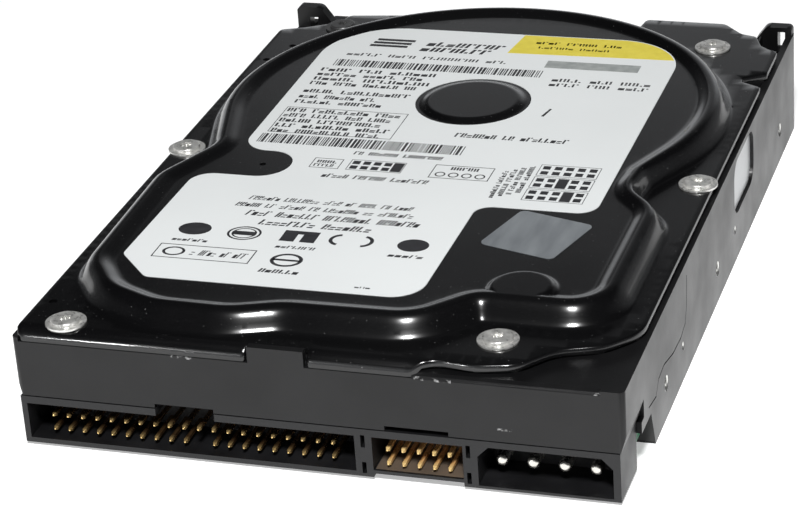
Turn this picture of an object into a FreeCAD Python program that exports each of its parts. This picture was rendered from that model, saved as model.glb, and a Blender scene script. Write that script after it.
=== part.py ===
import FreeCAD, Part
import math
import os

# 3.5 inch hard disk drive, in millimetres.
# +X runs across the width, +Y runs away from the connector end, +Z is up.
# The origin is the middle of the underside of the whole drive.

Vector = FreeCAD.Vector
TINY = 1e-6

# Form factor
HALF_WIDTH = 50.8
HALF_LENGTH = 73.5
FRONT = -HALF_LENGTH
BACK = HALF_LENGTH

# Levels, from the bottom up
BOARD_BOTTOM = 3.29
BOARD_TOP = 4.89
FLOOR_UNDERSIDE = 5.6
FLOOR_TOP = 8.0
WALL_BOTTOM = 9.5
SHOULDER_TOP = 20.1
LIP_BOTTOM = 19.5
GASKET_BOTTOM = 20.4
RIM_TOP = 20.9
FLANGE_TOP = 21.8
PLATEAU_INSIDE = 23.6
PLATEAU_TOP = 24.5
LABEL_TOP = 24.6
BEAD_TOP = 25.4
SHEET = FLANGE_TOP - RIM_TOP

# Disk stack
SPINDLE = (0.0, 20.6)
BEAD_RADIUS = 44.1
REAR_EDGE_RADIUS = 50.2
CAVITY_OFFSET = 4.2
GASKET_WIDTH = 0.5
PLATTER_RADIUS = 47.5
HUB_RADIUS = 12.5
PLATTER_BORE = 12.55
LOWER_PLATTER = (11.0, 12.27)
UPPER_PLATTER = (15.27, 16.54)
SHAFT_RADIUS = 2.0
INNER_RACE = 2.9
OUTER_RACE = 4.1
BEARING_RADIUS = 5.0
BALL_RADIUS = 0.58

# Actuator
PIVOT = (26.0, -31.0)
PARK_ANGLE = 99.2
ARM_LENGTH = 52.0
BLOCK_RADIUS = 8.2
COIL_INNER = 14.5
COIL_OUTER = 25.5
COIL_HALF_ANGLE = 22.0
COIL_ANGLE = PARK_ANGLE - 180.0
PLATE_INNER = 13.2
PLATE_OUTER = 26.5
PLATE_START = -138.0
PLATE_STOP = -56.0
STANDOFF_ANGLES = (-146.0, -48.0)
STANDOFF_REACH = 21.0

# Latch, flex bracket and filter
LATCH = (-4.0, -52.0)
BRACKET = (-6.0, -36.0)

# Connectors
HOUSING_LEFT = -50.5
HOUSING_RIGHT = 49.9
HOUSING_BOTTOM = 0.7
HOUSING_TOP = 9.3
HOUSING_BACK = -62.9
MOUTH_BACK = -64.9
PIN_PITCH = 2.54
PIN_ROWS = (2.82, 5.36)
IDE_FIRST_PIN = -45.65
IDE_COLUMNS = 20
IDE_MISSING_COLUMN = 10
JUMPER_FIRST_PIN = 11.91
JUMPER_COLUMNS = 5
POWER_FIRST_PIN = 30.01
POWER_PITCH = 5.08
POWER_PINS = 4
POWER_PIN_LEVEL = 4.3
POWER_PIN_RADIUS = 1.04

# Fasteners
COVER_SCREWS = [(-42.2, -70.2), (28.4, -63.5), (47.4, -2.4), (-47.4, -2.4), (37.5, 58.6), (-37.5, 58.6)]
COVER_NOTCH = [(50.9, 40.9), (50.9, 48.4), (45.9, 45.1), (46.3, 43.5)]
COVER_SCREW_HOLE = 1.7
COVER_SCREW_SHANK = 1.4
BOARD_SCREWS = [(-41.0, -52.0), (41.0, -52.0), (-39.0, -4.0), (39.0, -4.0), (-39.0, 36.0), (39.0, 36.0)]
MOUNT_HOLE = 1.38
SIDE_HOLES = [-45.0, -3.4, 56.6]
SIDE_HOLE_LEVEL = 6.35
BOTTOM_HOLES = [-32.22, 12.23]
BOTTOM_HOLE_X = 47.625


def box(left, right, front, back, bottom, top):
    """Box between two values along each axis."""
    return Part.makeBox(right - left, back - front, top - bottom, Vector(left, front, bottom))


def disc(centre, radius, bottom, top):
    """Upright cylinder about a point in plan."""
    return Part.makeCylinder(radius, top - bottom, Vector(centre[0], centre[1], bottom))


def ring(centre, outer, inner, bottom, top):
    """Upright tube about a point in plan."""
    return disc(centre, outer, bottom, top).cut(disc(centre, inner, bottom - 1, top + 1))


def polar(centre, radius, angle):
    """Point in plan at a radius and an angle in degrees."""
    turn = math.radians(angle)
    return (centre[0] + radius * math.cos(turn), centre[1] + radius * math.sin(turn))


def outline(corners, level=0.0):
    """Face inside (x, y, radius) corners, each rounded by a tangent arc."""
    count = len(corners)
    points = [Vector(x, y, level) for x, y, radius in corners]
    starts = []
    middles = []
    ends = []
    for index, corner in enumerate(points):
        radius = corners[index][2]
        to_last = (points[index - 1] - corner).normalize()
        to_next = (points[(index + 1) % count] - corner).normalize()
        half_angle = to_last.getAngle(to_next) / 2
        reach = radius / math.tan(half_angle)
        middle_distance = radius / math.sin(half_angle) - radius
        starts.append(corner + to_last * reach)
        ends.append(corner + to_next * reach)
        middles.append(corner + (to_last + to_next).normalize() * middle_distance)
    edges = []
    for index in range(count):
        following = (index + 1) % count
        if corners[index][2] > 0:
            edges.append(Part.Arc(starts[index], middles[index], ends[index]).toShape())
        if ends[index].distanceToPoint(starts[following]) > TINY:
            edges.append(Part.LineSegment(ends[index], starts[following]).toShape())
    return Part.Face(Part.Wire(edges))


def prism(corners, bottom, top):
    """Upright prism on a rounded outline."""
    return outline(corners, bottom).extrude(Vector(0, 0, top - bottom))


def plain_prism(points, bottom, top):
    """Upright prism on a sharp-cornered outline."""
    return prism([(x, y, 0.0) for x, y in points], bottom, top)


def profile_x(points, left, right):
    """Prism along X on a sharp outline of (y, z) points."""
    corners = [Vector(left, y, z) for y, z in points]
    return Part.Face(Part.makePolygon(corners + corners[:1])).extrude(Vector(right - left, 0, 0))


def profile_y(points, front, back):
    """Prism along Y on a sharp outline of (x, z) points."""
    corners = [Vector(x, front, z) for x, z in points]
    return Part.Face(Part.makePolygon(corners + corners[:1])).extrude(Vector(0, back - front, 0))


def sector(centre, inner, outer, start, stop, bottom, top):
    """Upright ring sector between two angles in degrees."""
    middle = (start + stop) / 2
    places = [polar(centre, inner, start), polar(centre, outer, start), polar(centre, outer, middle),
              polar(centre, outer, stop), polar(centre, inner, stop), polar(centre, inner, middle)]
    points = [Vector(x, y, bottom) for x, y in places]
    edges = [Part.LineSegment(points[0], points[1]).toShape(),
             Part.Arc(points[1], points[2], points[3]).toShape(),
             Part.LineSegment(points[3], points[4]).toShape(),
             Part.Arc(points[4], points[5], points[0]).toShape()]
    return Part.Face(Part.Wire(edges)).extrude(Vector(0, 0, top - bottom))


def fuse(shapes):
    """One solid from several that touch or overlap."""
    return shapes[0].multiFuse(shapes[1:]).removeSplitter()


def cut(shape, tools):
    """A solid with several others taken away."""
    return shape.cut(Part.makeCompound(tools)) if tools else shape


def turned(shape, centre, angle):
    """Copy of a shape turned about an upright axis."""
    copy = shape.copy()
    copy.rotate(Vector(centre[0], centre[1], 0), Vector(0, 0, 1), angle)
    return copy


def mirrored(shape):
    """Copy of a shape on the other side of the drive."""
    return shape.mirror(Vector(0, 0, 0), Vector(1, 0, 0))


def torx_recess(centre, radius, bottom, top):
    """Six-lobed socket."""
    lobes = [disc(polar(centre, radius * 0.72, 60 * index), radius * 0.28, bottom, top) for index in range(6)]
    return fuse([disc(centre, radius * 0.72, bottom, top)] + lobes)


def torx_screw(centre, head_radius, head_bottom, head_top, shank_radius, shank_bottom):
    """Pan head screw, pointing down, with a six-lobed socket."""
    head = disc(centre, head_radius, head_bottom, head_top)
    rim = [edge for edge in head.Edges if abs(edge.BoundBox.ZMin - head_top) < TINY and edge.Closed]
    head = head.makeFillet((head_top - head_bottom) * 0.45, rim)
    shank = disc(centre, shank_radius, shank_bottom, head_bottom + 0.1)
    recess_bottom = head_bottom + (head_top - head_bottom) * 0.35
    return fuse([head, shank]).cut(torx_recess(centre, head_radius * 0.42, recess_bottom, head_top + 1))


def arc_corners(centre, radius, start, stop, count):
    """Corners whose rounding is one arc from start to stop, in degrees."""
    step = (stop - start) / count
    reach = radius / math.cos(math.radians(step / 2))
    corners = []
    for index in range(count):
        x, y = polar(centre, reach, start + step * (index + 0.5))
        corners.append((x, y, radius))
    return corners


def tangent_corner(centre, radius, angle, distance, rounding):
    """Corner on the tangent at the end of an arc, ahead of it or, if distance is negative, behind it."""
    x, y = polar(centre, radius, angle)
    turn = math.radians(angle)
    return (x - distance * math.sin(turn), y + distance * math.cos(turn), rounding)


def bead_face(offset, level):
    """Area inside the line of the cover's raised bead, moved outward by an offset."""
    corners = arc_corners(SPINDLE, BEAD_RADIUS, -22.0, 195.0, 4)
    corners.append(tangent_corner(SPINDLE, BEAD_RADIUS, 195.0, 15.5, 9.0))
    corners += [(-44.4, -20.0, 8.0), (-44.4, -54.0, 10.0), (-37.5, -62.3, 12.0), (-28.5, -66.2, 12.0),
                (-16.5, -66.2, 12.0), (-6.0, -63.6, 12.0), (14.5, -63.2, 5.0), (22.5, -54.4, 5.0),
                (42.9, -54.6, 5.0), (42.9, -22.0, 8.0)]
    corners.append(tangent_corner(SPINDLE, BEAD_RADIUS, -22.0, -13.0, 6.0))
    face = outline(corners, level)
    return face.makeOffset2D(offset) if offset else face


def bead_prism(offset, bottom, top):
    """Prism on the bead's line moved outward by an offset."""
    return bead_face(offset, bottom).extrude(Vector(0, 0, top - bottom))


def cover_face(offset, level):
    """Outline of the cover's flange, moved outward by an offset."""
    corners = [(50.0, -56.5, 3.0), (45.0, -62.3, 2.5), (38.0, -64.8, 3.0), (33.5, -70.6, 3.0),
               (27.0, -72.0, 3.0), (20.5, -71.2, 2.0), (17.0, -73.2, 1.5)]
    corners = [(50.0, 58.9, 1.2)] + corners
    corners += [(-50.0, -73.2, 1.5), (-50.0, 56.2, 1.2), (-45.4, 57.9, 1.2), (-39.4, 61.4, 1.5),
                (-38.2, 65.4, 1.2), (-24.6, 67.4, 1.0)]
    corners.append(tangent_corner(SPINDLE, REAR_EDGE_RADIUS, 117.5, 1.0, 0.5))
    corners += arc_corners(SPINDLE, REAR_EDGE_RADIUS, 117.5, 66.5, 2)
    corners.append(tangent_corner(SPINDLE, REAR_EDGE_RADIUS, 66.5, -1.0, 0.5))
    corners += [(21.6, 71.5, 1.0), (37.5, 71.4, 2.0), (41.6, 66.8, 1.5), (44.7, 65.8, 1.2),
                (46.4, 61.4, 1.2), (48.4, 59.6, 1.2)]
    face = outline(corners, level)
    return face.makeOffset2D(offset) if offset else face


def label_corners():
    """Outline of the paper label."""
    return [(34.0, 53.5, 13.0), (-35.3, 53.3, 14.5), (-35.3, -6.2, 5.0), (-23.8, -6.2, 5.4),
            (-23.8, -17.2, 5.4), (-39.6, -17.2, 4.0), (-40.2, -50.0, 2.0), (-33.5, -57.3, 2.0),
            (13.4, -57.3, 5.4), (13.6, -22.3, 3.0), (34.0, -22.3, 3.6)]


def base_casting():
    """Cast aluminium base: floor, walls, rails, motor well, bosses and lugs."""
    body = prism([(HALF_WIDTH, FRONT, 1.0), (HALF_WIDTH, BACK, 1.5), (-HALF_WIDTH, BACK, 1.5),
                  (-HALF_WIDTH, FRONT, 1.0)], 0.0, SHOULDER_TOP)
    rim = cover_face(-0.6, SHOULDER_TOP).extrude(Vector(0, 0, RIM_TOP - SHOULDER_TOP))
    rim = rim.cut(box(-11, 17.5, FRONT, FRONT + 1.5, SHOULDER_TOP, RIM_TOP))
    tab = box(-10.0, -0.6, FRONT, FRONT + 1.4, SHOULDER_TOP, 22.2)
    body = fuse([cut(body, rear_shelves()), rim, rear_lug(1, 70.6, 73.1), rear_lug(-1, 68.3, 70.8), tab])
    rail_inner = 44.6
    # Chamber of the disks, with a raised floor over the connectors
    raised_floor = box(-HALF_WIDTH, HALF_WIDTH, FRONT, -61.6, FLOOR_TOP, 10.9)
    tools = [bead_prism(CAVITY_OFFSET, FLOOR_TOP, RIM_TOP + 1).cut(raised_floor)]
    gasket_seat = bead_prism(CAVITY_OFFSET + GASKET_WIDTH, GASKET_BOTTOM, RIM_TOP + 1)
    tools.append(gasket_seat)
    # Space for the connectors and the circuit board under the floor
    tools.append(box(-HALF_WIDTH - 1, HALF_WIDTH + 1, FRONT - 1, -62.7, -1, WALL_BOTTOM))
    tools.append(box(-rail_inner, rail_inner, -63, 42.0, -1, FLOOR_UNDERSIDE))
    tools.append(box(-rail_inner, rail_inner, 42.0 - 1, BACK + 1, -1, 1.5))
    notch = [(-63.5, -1.0), (-53.7, -1.0), (-53.7, 0.4), (-56.2, 7.0), (-63.5, 7.0)]
    tools.append(profile_x(notch, -HALF_WIDTH - 1, HALF_WIDTH + 1))
    # Pockets that lighten the thick rear of the underside
    for left in (-42.0, 15.0):
        tools.append(box(left, left + 27.0, 60.5, 70.0, 1.0, 5.6))
    tools.append(box(-13.5, 13.5, 52.0, 70.0, 1.0, 6.7))
    # Shallow reliefs in the floor between the side holes
    tools += [disc((0.0, along), 3.5, 4.0, 6.7) for along in SIDE_HOLES[:2]]
    # Chamfer along the lower front edges of both side walls
    chamfer = profile_y([(HALF_WIDTH + 1, 9.0), (HALF_WIDTH - 0.9, 9.0), (HALF_WIDTH, 12.2),
                         (HALF_WIDTH + 1, 12.2)], FRONT - 1, -61.0)
    tools += [chamfer, mirrored(chamfer)]
    # Clearance over the key of the data socket and over the jumper bay
    tools.append(box(-26.8, -16.7, FRONT - 1, -70.8, 9.0, 10.2))
    tools.append(box(12.0, 22.5, FRONT - 1, -70.0, 9.0, 10.3))
    # Ledges for the cover's front lip, and the rounded front edge beside them
    tools += [box(-49.6, -10.0, FRONT - 1, FRONT + 0.9, LIP_BOTTOM - 0.1, RIM_TOP + 1),
              box(-0.6, 17.0, FRONT - 1, FRONT + 0.9, LIP_BOTTOM - 0.1, RIM_TOP + 1)]
    tools.append(profile_x([(FRONT - 1, LIP_BOTTOM - 0.2), (FRONT, LIP_BOTTOM - 0.2), (FRONT + 0.25, LIP_BOTTOM + 0.3),
                            (FRONT + 0.9, SHOULDER_TOP), (FRONT + 0.9, SHOULDER_TOP + 1),
                            (FRONT - 1, SHOULDER_TOP + 1)], 17.0, 47.0))
    # Pocket below the notch in the cover's edge
    tools.append(plain_prism([(49.3, 41.7), (49.3, 47.4), (46.2, 45.0), (46.6, 43.4)], 15.0, SHOULDER_TOP))
    tools.append(plain_prism(COVER_NOTCH, SHOULDER_TOP, RIM_TOP + 1))
    # Upright slot through each rear lug
    tools.append(box(47.9, 49.3, 70.0, BACK + 1, 17.0, 20.9))
    tools.append(box(-47.9, -46.2, 68.0, BACK + 1, 16.9, 19.7))
    # Parting line along the right side wall
    tools += parting_line()
    # Recess and window of the side port
    port = [(12.0, 8.6), (30.0, 8.6), (30.0, 19.0), (12.0, 19.0)]
    recess = rounded_side_box(port, 3.4, HALF_WIDTH - 0.7, HALF_WIDTH + 1)
    window = rounded_side_box([(14.5, 10.8), (27.5, 10.8), (27.5, 16.8), (14.5, 16.8)], 2.0, 40.0, HALF_WIDTH)
    tools += [recess, window]
    # Well and bottom bore of the spindle motor
    tools.append(disc(SPINDLE, 14.3, 4.0, FLOOR_TOP + 1))
    body = cut(body, tools)
    motor_boss = ring(SPINDLE, 16.5, 4.2, 2.8, 4.0)
    boss_wall = ring(SPINDLE, 16.5, 14.3, 2.8, FLOOR_UNDERSIDE + 0.5)
    sleeve = ring(SPINDLE, 4.2, SHAFT_RADIUS, 2.8, 6.5)
    board_bosses = [disc(place, 3.0, BOARD_TOP, FLOOR_UNDERSIDE + 0.2) for place in BOARD_SCREWS]
    body = fuse([body, motor_boss, boss_wall, sleeve] + board_bosses)
    holes = [disc(SPINDLE, SHAFT_RADIUS, 2.0, 7.0)]
    holes.append(disc(PIVOT, SHAFT_RADIUS, 6.4, FLOOR_TOP + 1))
    holes += [disc(place, COVER_SCREW_SHANK, 14.0, RIM_TOP + 1) for place in COVER_SCREWS]
    holes += [disc(place, 1.1, 0.0, 7.2) for place in BOARD_SCREWS]
    holes += [disc(place, 1.0, 6.4, FLOOR_TOP + 1) for place in plate_screw_places()]
    holes += [disc(place, 1.2, 6.4, FLOOR_TOP + 1) for place in stop_places()]
    holes.append(disc(LATCH, 1.0, 6.4, FLOOR_TOP + 1))
    holes.append(box(BRACKET[0] - 6.0, BRACKET[0] + 6.0, BRACKET[1] - 2.5, BRACKET[1] + 2.5, 5.0, 9.0))
    for side in (-1, 1):
        for along in SIDE_HOLES:
            start = Vector(side * (HALF_WIDTH + 1), along, SIDE_HOLE_LEVEL)
            holes.append(Part.makeCylinder(MOUNT_HOLE, 5.6, start, Vector(-side, 0, 0)))
        for along in BOTTOM_HOLES:
            holes.append(disc((side * BOTTOM_HOLE_X, along), MOUNT_HOLE, -1.0, 5.4))
            start = Vector(side * (HALF_WIDTH + 1), along, SIDE_HOLE_LEVEL)
            holes.append(Part.makeCylinder(0.8, 1.5, start, Vector(-side, 0, 0)))
    return cut(body, holes)


def rear_shelves():
    """Space that leaves the rear edge and the rear corners of the base lower than the shoulder."""
    spaces = [box(-44.5, 44.5, 60.0, BACK + 1, 18.1, SHOULDER_TOP + 1),
              box(44.9, 49.5, 57.0, 70.6, 14.0, SHOULDER_TOP + 1),
              box(-49.5, -44.4, 55.0, 70.8, 14.0, SHOULDER_TOP + 1),
              box(-HALF_WIDTH - 1, -49.4, 56.6, BACK + 1, 17.2, SHOULDER_TOP + 1),
              box(-HALF_WIDTH, -44.4, 70.6, BACK + 1, 17.2, SHOULDER_TOP + 1)]
    kept = cover_face(-0.6, 10.0).extrude(Vector(0, 0, 15.0))
    return [space.cut(kept) for space in spaces]


def rear_lug(side, front, back):
    """Upright wall with rounded shoulders at a rear corner."""
    corners = [(50.6, 14.0, 0.2), (50.6, 21.8, 0.9), (45.6, 21.8, 1.6), (43.8, 19.4, 0.8), (43.0, 18.0, 0.8),
               (41.0, 17.6, 0.3), (41.0, 14.0, 0.3)]
    flat = outline([(side * x, z, radius) for x, z, radius in corners])
    flat.rotate(Vector(0, 0, 0), Vector(1, 0, 0), 90)
    flat.translate(Vector(0, back, 0))
    return flat.extrude(Vector(0, front - back, 0))


def parting_line():
    """Fine groove along the right side wall, as short straight stretches."""
    line = [(-57.5, 8.8), (-52.5, 8.0), (-50.5, 10.1), (-46.4, 10.5), (-39.7, 9.0), (-33.8, 8.7), (-30.3, 9.6),
            (-28.9, 12.1), (-28.4, 17.5)]
    grooves = []
    for (first_y, first_z), (last_y, last_z) in zip(line, line[1:]):
        length = math.hypot(last_y - first_y, last_z - first_z)
        groove = box(HALF_WIDTH - 0.15, HALF_WIDTH + 1, -0.13, length + 0.13, -0.13, 0.13)
        groove.rotate(Vector(0, 0, 0), Vector(1, 0, 0), math.degrees(math.atan2(last_z - first_z, last_y - first_y)))
        groove.translate(Vector(0, first_y, first_z))
        grooves.append(groove)
    return grooves


def rounded_side_box(corners, radius, left, right):
    """Prism along X on a rounded outline of (y, z) corners."""
    flat = outline([(y, z, radius) for y, z in corners])
    flat.rotate(Vector(0, 0, 0), Vector(1, 1, 1), 120)
    flat.translate(Vector(left, 0, 0))
    return flat.extrude(Vector(right - left, 0, 0))


def top_cover():
    """Pressed steel cover: flange, raised plateau, bead, domes and rolled front lip."""
    flange = cover_face(0, RIM_TOP).extrude(Vector(0, 0, SHEET))
    wall_out = 2.6
    raised = bead_prism(wall_out, RIM_TOP, PLATEAU_TOP)
    bead = bead_prism(1.3, PLATEAU_TOP - 0.1, BEAD_TOP).cut(bead_prism(-1.3, PLATEAU_TOP - 1, BEAD_TOP + 1))
    hub_dome = disc((0.6, 20.5), 9.6, PLATEAU_TOP - 0.1, 25.0)
    front_dome = disc((29.0, -51.0), 5.6, PLATEAU_TOP - 0.1, 25.1)
    lips = [box(-49.0, -10.6, FRONT, FRONT + 0.7, LIP_BOTTOM, FLANGE_TOP - 0.3),
            box(-0.1, 16.0, FRONT, FRONT + 0.7, LIP_BOTTOM, FLANGE_TOP - 0.3)]
    shell = fuse([flange, raised, bead, hub_dome, front_dome] + lips)
    tools = [bead_prism(wall_out - SHEET, RIM_TOP - 1, PLATEAU_INSIDE)]
    tools.append(box(-10.5, -0.1, FRONT - 1, FRONT + 1.7, 19.0, PLATEAU_TOP))
    tools.append(plain_prism(COVER_NOTCH, RIM_TOP - 1, FLANGE_TOP + 1))
    tools.append(disc((-29.0, -12.0), 0.6, RIM_TOP, BEAD_TOP))
    tools.append(disc(PIVOT, 1.2, RIM_TOP, BEAD_TOP))
    tools.append(disc(PIVOT, 2.8, 24.05, BEAD_TOP))
    tools += [disc(place, COVER_SCREW_HOLE, RIM_TOP - 1, FLANGE_TOP + 1) for place in COVER_SCREWS]
    tools += [disc((-44.5, 48.0), 0.7, RIM_TOP - 1, FLANGE_TOP + 1),
              disc((-47.3, 40.5), 0.7, RIM_TOP - 1, FLANGE_TOP + 1)]
    return cut(shell, tools)


def cover_gasket():
    """Foam ring that seals the cover to the base."""
    outer = bead_prism(CAVITY_OFFSET + GASKET_WIDTH, GASKET_BOTTOM, RIM_TOP)
    return outer.cut(bead_prism(CAVITY_OFFSET, GASKET_BOTTOM - 1, RIM_TOP + 1))


def cover_screws():
    """Six screws with washer flanges that hold the cover."""
    screws = []
    for place in COVER_SCREWS:
        washer = disc(place, 3.38, FLANGE_TOP, FLANGE_TOP + 0.35)
        screw = torx_screw(place, 2.5, FLANGE_TOP + 0.25, FLANGE_TOP + 0.95, COVER_SCREW_SHANK, 14.5)
        washer = washer.cut(disc(place, 1.0, FLANGE_TOP, FLANGE_TOP + 1))
        screws.append(fuse([washer, screw]))
    return screws


def pivot_screw():
    """Screw that ties the cover to the actuator's post, flush with the plateau."""
    head = disc(PIVOT, 2.6, 24.05, 24.45)
    shank = disc(PIVOT, 1.1, 18.6, 24.1)
    return fuse([head, shank]).cut(torx_recess(PIVOT, 1.1, 24.2, 25.0))


def label():
    """Paper label on the plateau, with a round hole for the dome over the spindle."""
    sheet = prism(label_corners(), PLATEAU_TOP, LABEL_TOP)
    return sheet.cut(disc((0.6, 20.5), 10.7, PLATEAU_TOP - 1, LABEL_TOP + 1))


def seal_sticker():
    """Square foil seal over the pivot screw."""
    half = 7.0
    centre = (26.3, -31.4)
    sheet = prism([(centre[0] + half, centre[1] + half, 1.2), (centre[0] - half, centre[1] + half, 1.2),
                   (centre[0] - half, centre[1] - half, 1.2), (centre[0] + half, centre[1] - half, 1.2)],
                  PLATEAU_TOP, LABEL_TOP)
    return turned(sheet, centre, -16.0)


def side_port_foil():
    """Foil over the window in the right side wall."""
    return rounded_side_box([(12.2, 8.8), (29.8, 8.8), (29.8, 18.8), (12.2, 18.8)], 3.2,
                            HALF_WIDTH - 0.7, HALF_WIDTH - 0.6)


def breather_filter():
    """Filter disc under the breather hole."""
    return disc((-29.0, -12.0), 4.0, 22.1, PLATEAU_INSIDE)


def pin_places():
    """Columns of the data pins and the jumper pins, as (x, row level) pairs."""
    data = []
    for column in range(IDE_COLUMNS):
        for level in PIN_ROWS:
            if column == IDE_MISSING_COLUMN and level == PIN_ROWS[0]:
                continue
            data.append((IDE_FIRST_PIN + PIN_PITCH * column, level))
    jumper = [(JUMPER_FIRST_PIN + PIN_PITCH * column, level) for column in range(JUMPER_COLUMNS)
              for level in PIN_ROWS]
    return data, jumper


def square_pin(x, level, tip):
    """Square pin with a tapered tip and a foot on the face of the circuit board."""
    half = 0.32
    taper = 0.5
    base = Part.makePolygon([Vector(x - half, tip + taper, level - half), Vector(x + half, tip + taper, level - half),
                             Vector(x + half, tip + taper, level + half), Vector(x - half, tip + taper, level + half),
                             Vector(x - half, tip + taper, level - half)])
    small = half * 0.4
    end = Part.makePolygon([Vector(x - small, tip, level - small), Vector(x + small, tip, level - small),
                            Vector(x + small, tip, level + small), Vector(x - small, tip, level + small),
                            Vector(x - small, tip, level - small)])
    point = Part.makeLoft([base, end], True)
    stem = box(x - half, x + half, tip + taper, -60.6, level - half, level + half)
    if level > BOARD_TOP:
        foot = box(x - half, x + half, -62.4, -60.6, BOARD_TOP, level + half)
    else:
        foot = box(x - half, x + half, -62.4, -60.6, level - half, BOARD_BOTTOM)
    return fuse([point, stem, foot])


def ide_pins():
    """Data pins: two rows of twenty with one left out as a key."""
    return [square_pin(x, level, -72.3) for x, level in pin_places()[0]]


def jumper_pins():
    """Jumper pins: two rows of five."""
    return [square_pin(x, level, -72.7) for x, level in pin_places()[1]]


def power_pins():
    """Four round power pins with flat feet."""
    pins = []
    for index in range(POWER_PINS):
        x = POWER_FIRST_PIN + POWER_PITCH * index
        pin = Part.makeCylinder(POWER_PIN_RADIUS, 7.2, Vector(x, -70.7, POWER_PIN_LEVEL), Vector(0, 1, 0))
        tip = min(pin.Edges, key=lambda edge: edge.BoundBox.YMax)
        pin = pin.makeFillet(0.7, [tip])
        foot = box(x - 0.8, x + 0.8, -63.9, -60.2, BOARD_TOP, BOARD_TOP + 0.7)
        pins.append(fuse([pin, foot]))
    return pins


def connector_housing():
    """Moulded housing with the data socket, the jumper bay and the power socket."""
    block = box(HOUSING_LEFT, HOUSING_RIGHT, FRONT, HOUSING_BACK, HOUSING_BOTTOM, HOUSING_TOP)
    ribs = [box(x, x + 2.0, -72.0, -64.0, HOUSING_TOP, WALL_BOTTOM) for x in (-40.0, 7.2, 42.0)]
    tools = [box(-49.5, 6.8, FRONT - 1, MOUTH_BACK, 1.6, 8.0)]
    tools.append(box(9.7, 24.6, FRONT - 1, MOUTH_BACK, 2.0, 8.0))
    tools.append(box(9.7, 24.6, FRONT - 1, HOUSING_BACK + 1, 0.0, 1.4))
    power = [(27.0, 1.2), (48.7, 1.2), (48.7, 6.4), (46.9, 8.2), (28.8, 8.2), (27.0, 6.4)]
    tools.append(profile_y(power, FRONT - 1, MOUTH_BACK))
    tools.append(box(-26.8, -16.7, FRONT - 1, -68.0, 7.5, HOUSING_TOP + 1))
    for x in (8.2, 25.5):
        tools.append(box(x - 0.35, x + 0.35, FRONT - 1, -70.0, 6.0, 8.2))
        tools.append(box(x - 0.35, x + 0.35, FRONT - 1, -70.0, 1.3, 3.3))
    pins = ide_pins() + jumper_pins() + power_pins()
    return cut(cut(fuse([block] + ribs), tools), pins)


def pcb():
    """Circuit board with ears beside the connectors and a round hole for the motor."""
    points = [(49.0, HOUSING_BACK), (49.0, -56.6), (44.2, -56.6), (44.2, 40.0),
              (-44.2, 40.0), (-44.2, -56.6), (-49.0, -56.6), (-49.0, HOUSING_BACK)]
    board = plain_prism(points, BOARD_BOTTOM, BOARD_TOP)
    tools = [disc(SPINDLE, 17.2, 0.0, 10.0)]
    tools += [disc(place, 1.3, 0.0, 10.0) for place in BOARD_SCREWS]
    return cut(board, tools)


def pcb_insulator():
    """Foam sheet between the circuit board and the floor of the base."""
    sheet = box(-42.5, 42.5, -57.0, 39.0, BOARD_TOP, FLOOR_UNDERSIDE)
    tools = [disc(SPINDLE, 17.6, 0.0, 10.0)]
    tools += [disc(place, 3.3, 0.0, 10.0) for place in BOARD_SCREWS]
    tools.append(box(-7.0, 7.0, -2.0, 5.0, 0.0, 10.0))
    tools.append(box(BRACKET[0] - 6.5, BRACKET[0] + 6.5, BRACKET[1] - 3.0, BRACKET[1] + 3.0, 0.0, 10.0))
    return cut(sheet, tools)


def chip(x, y, width, length, height, leads_per_side, pitch):
    """Chip under the board: a body, and rows of leads on its two long sides."""
    body = box(x - width / 2, x + width / 2, y - length / 2, y + length / 2,
               BOARD_BOTTOM - height, BOARD_BOTTOM - 0.1)
    pieces = [body]
    for side in (-1, 1):
        for index in range(leads_per_side):
            along = y + (index - (leads_per_side - 1) / 2) * pitch
            inner = x + side * (width / 2 - 0.1)
            outer = x + side * (width / 2 + 0.9)
            pieces.append(box(min(inner, outer), max(inner, outer), along - 0.15, along + 0.15,
                              BOARD_BOTTOM - 0.3, BOARD_BOTTOM))
    return fuse(pieces)


def controller_chip():
    """Square controller with leads on all four sides."""
    first = chip(-14.0, -30.0, 20.0, 20.0, 1.5, 28, 0.65)
    second = turned(first, (-14.0, -30.0), 90)
    return fuse([first, second])


def smd_passives():
    """Small resistors and capacitors in rows under the board."""
    pieces = []
    rows = [(-36.0, -52.0, 8, 3.2), (-2.0, -44.0, 6, 3.0), (14.0, -30.0, 7, 3.0), (-36.0, -14.0, 2, 3.2),
            (10.0, -52.0, 9, 3.0)]
    for x, y, count, spacing in rows:
        for index in range(count):
            left = x + index * spacing
            pieces.append(box(left, left + 1.6, y, y + 0.8, BOARD_BOTTOM - 0.5, BOARD_BOTTOM))
    return pieces


def motor_contacts():
    """Four spring contacts from the board to the motor."""
    return [box(x - 0.6, x + 0.6, -1.0, 3.0, BOARD_TOP, FLOOR_UNDERSIDE) for x in (-4.5, -1.5, 1.5, 4.5)]


def head_connector():
    """Plug from the board through the floor to the flex bracket."""
    left = BRACKET[0] - 5.9
    front = BRACKET[1] - 2.4
    return box(left, left + 11.8, front, front + 4.8, BOARD_TOP, FLOOR_TOP + 0.6)


def pcb_screws():
    """Six screws that hold the circuit board."""
    screws = []
    for place in BOARD_SCREWS:
        screw = torx_screw(place, 2.6, 0.0, 1.4, 1.1, -3.7)
        screw.rotate(Vector(place[0], place[1], 0), Vector(1, 0, 0), 180)
        screw.translate(Vector(0, 0, BOARD_BOTTOM))
        screws.append(screw)
    return screws


def spindle_shaft():
    """Fixed shaft of the motor, pressed into the base."""
    return disc(SPINDLE, SHAFT_RADIUS, 2.0, 18.6)


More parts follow.
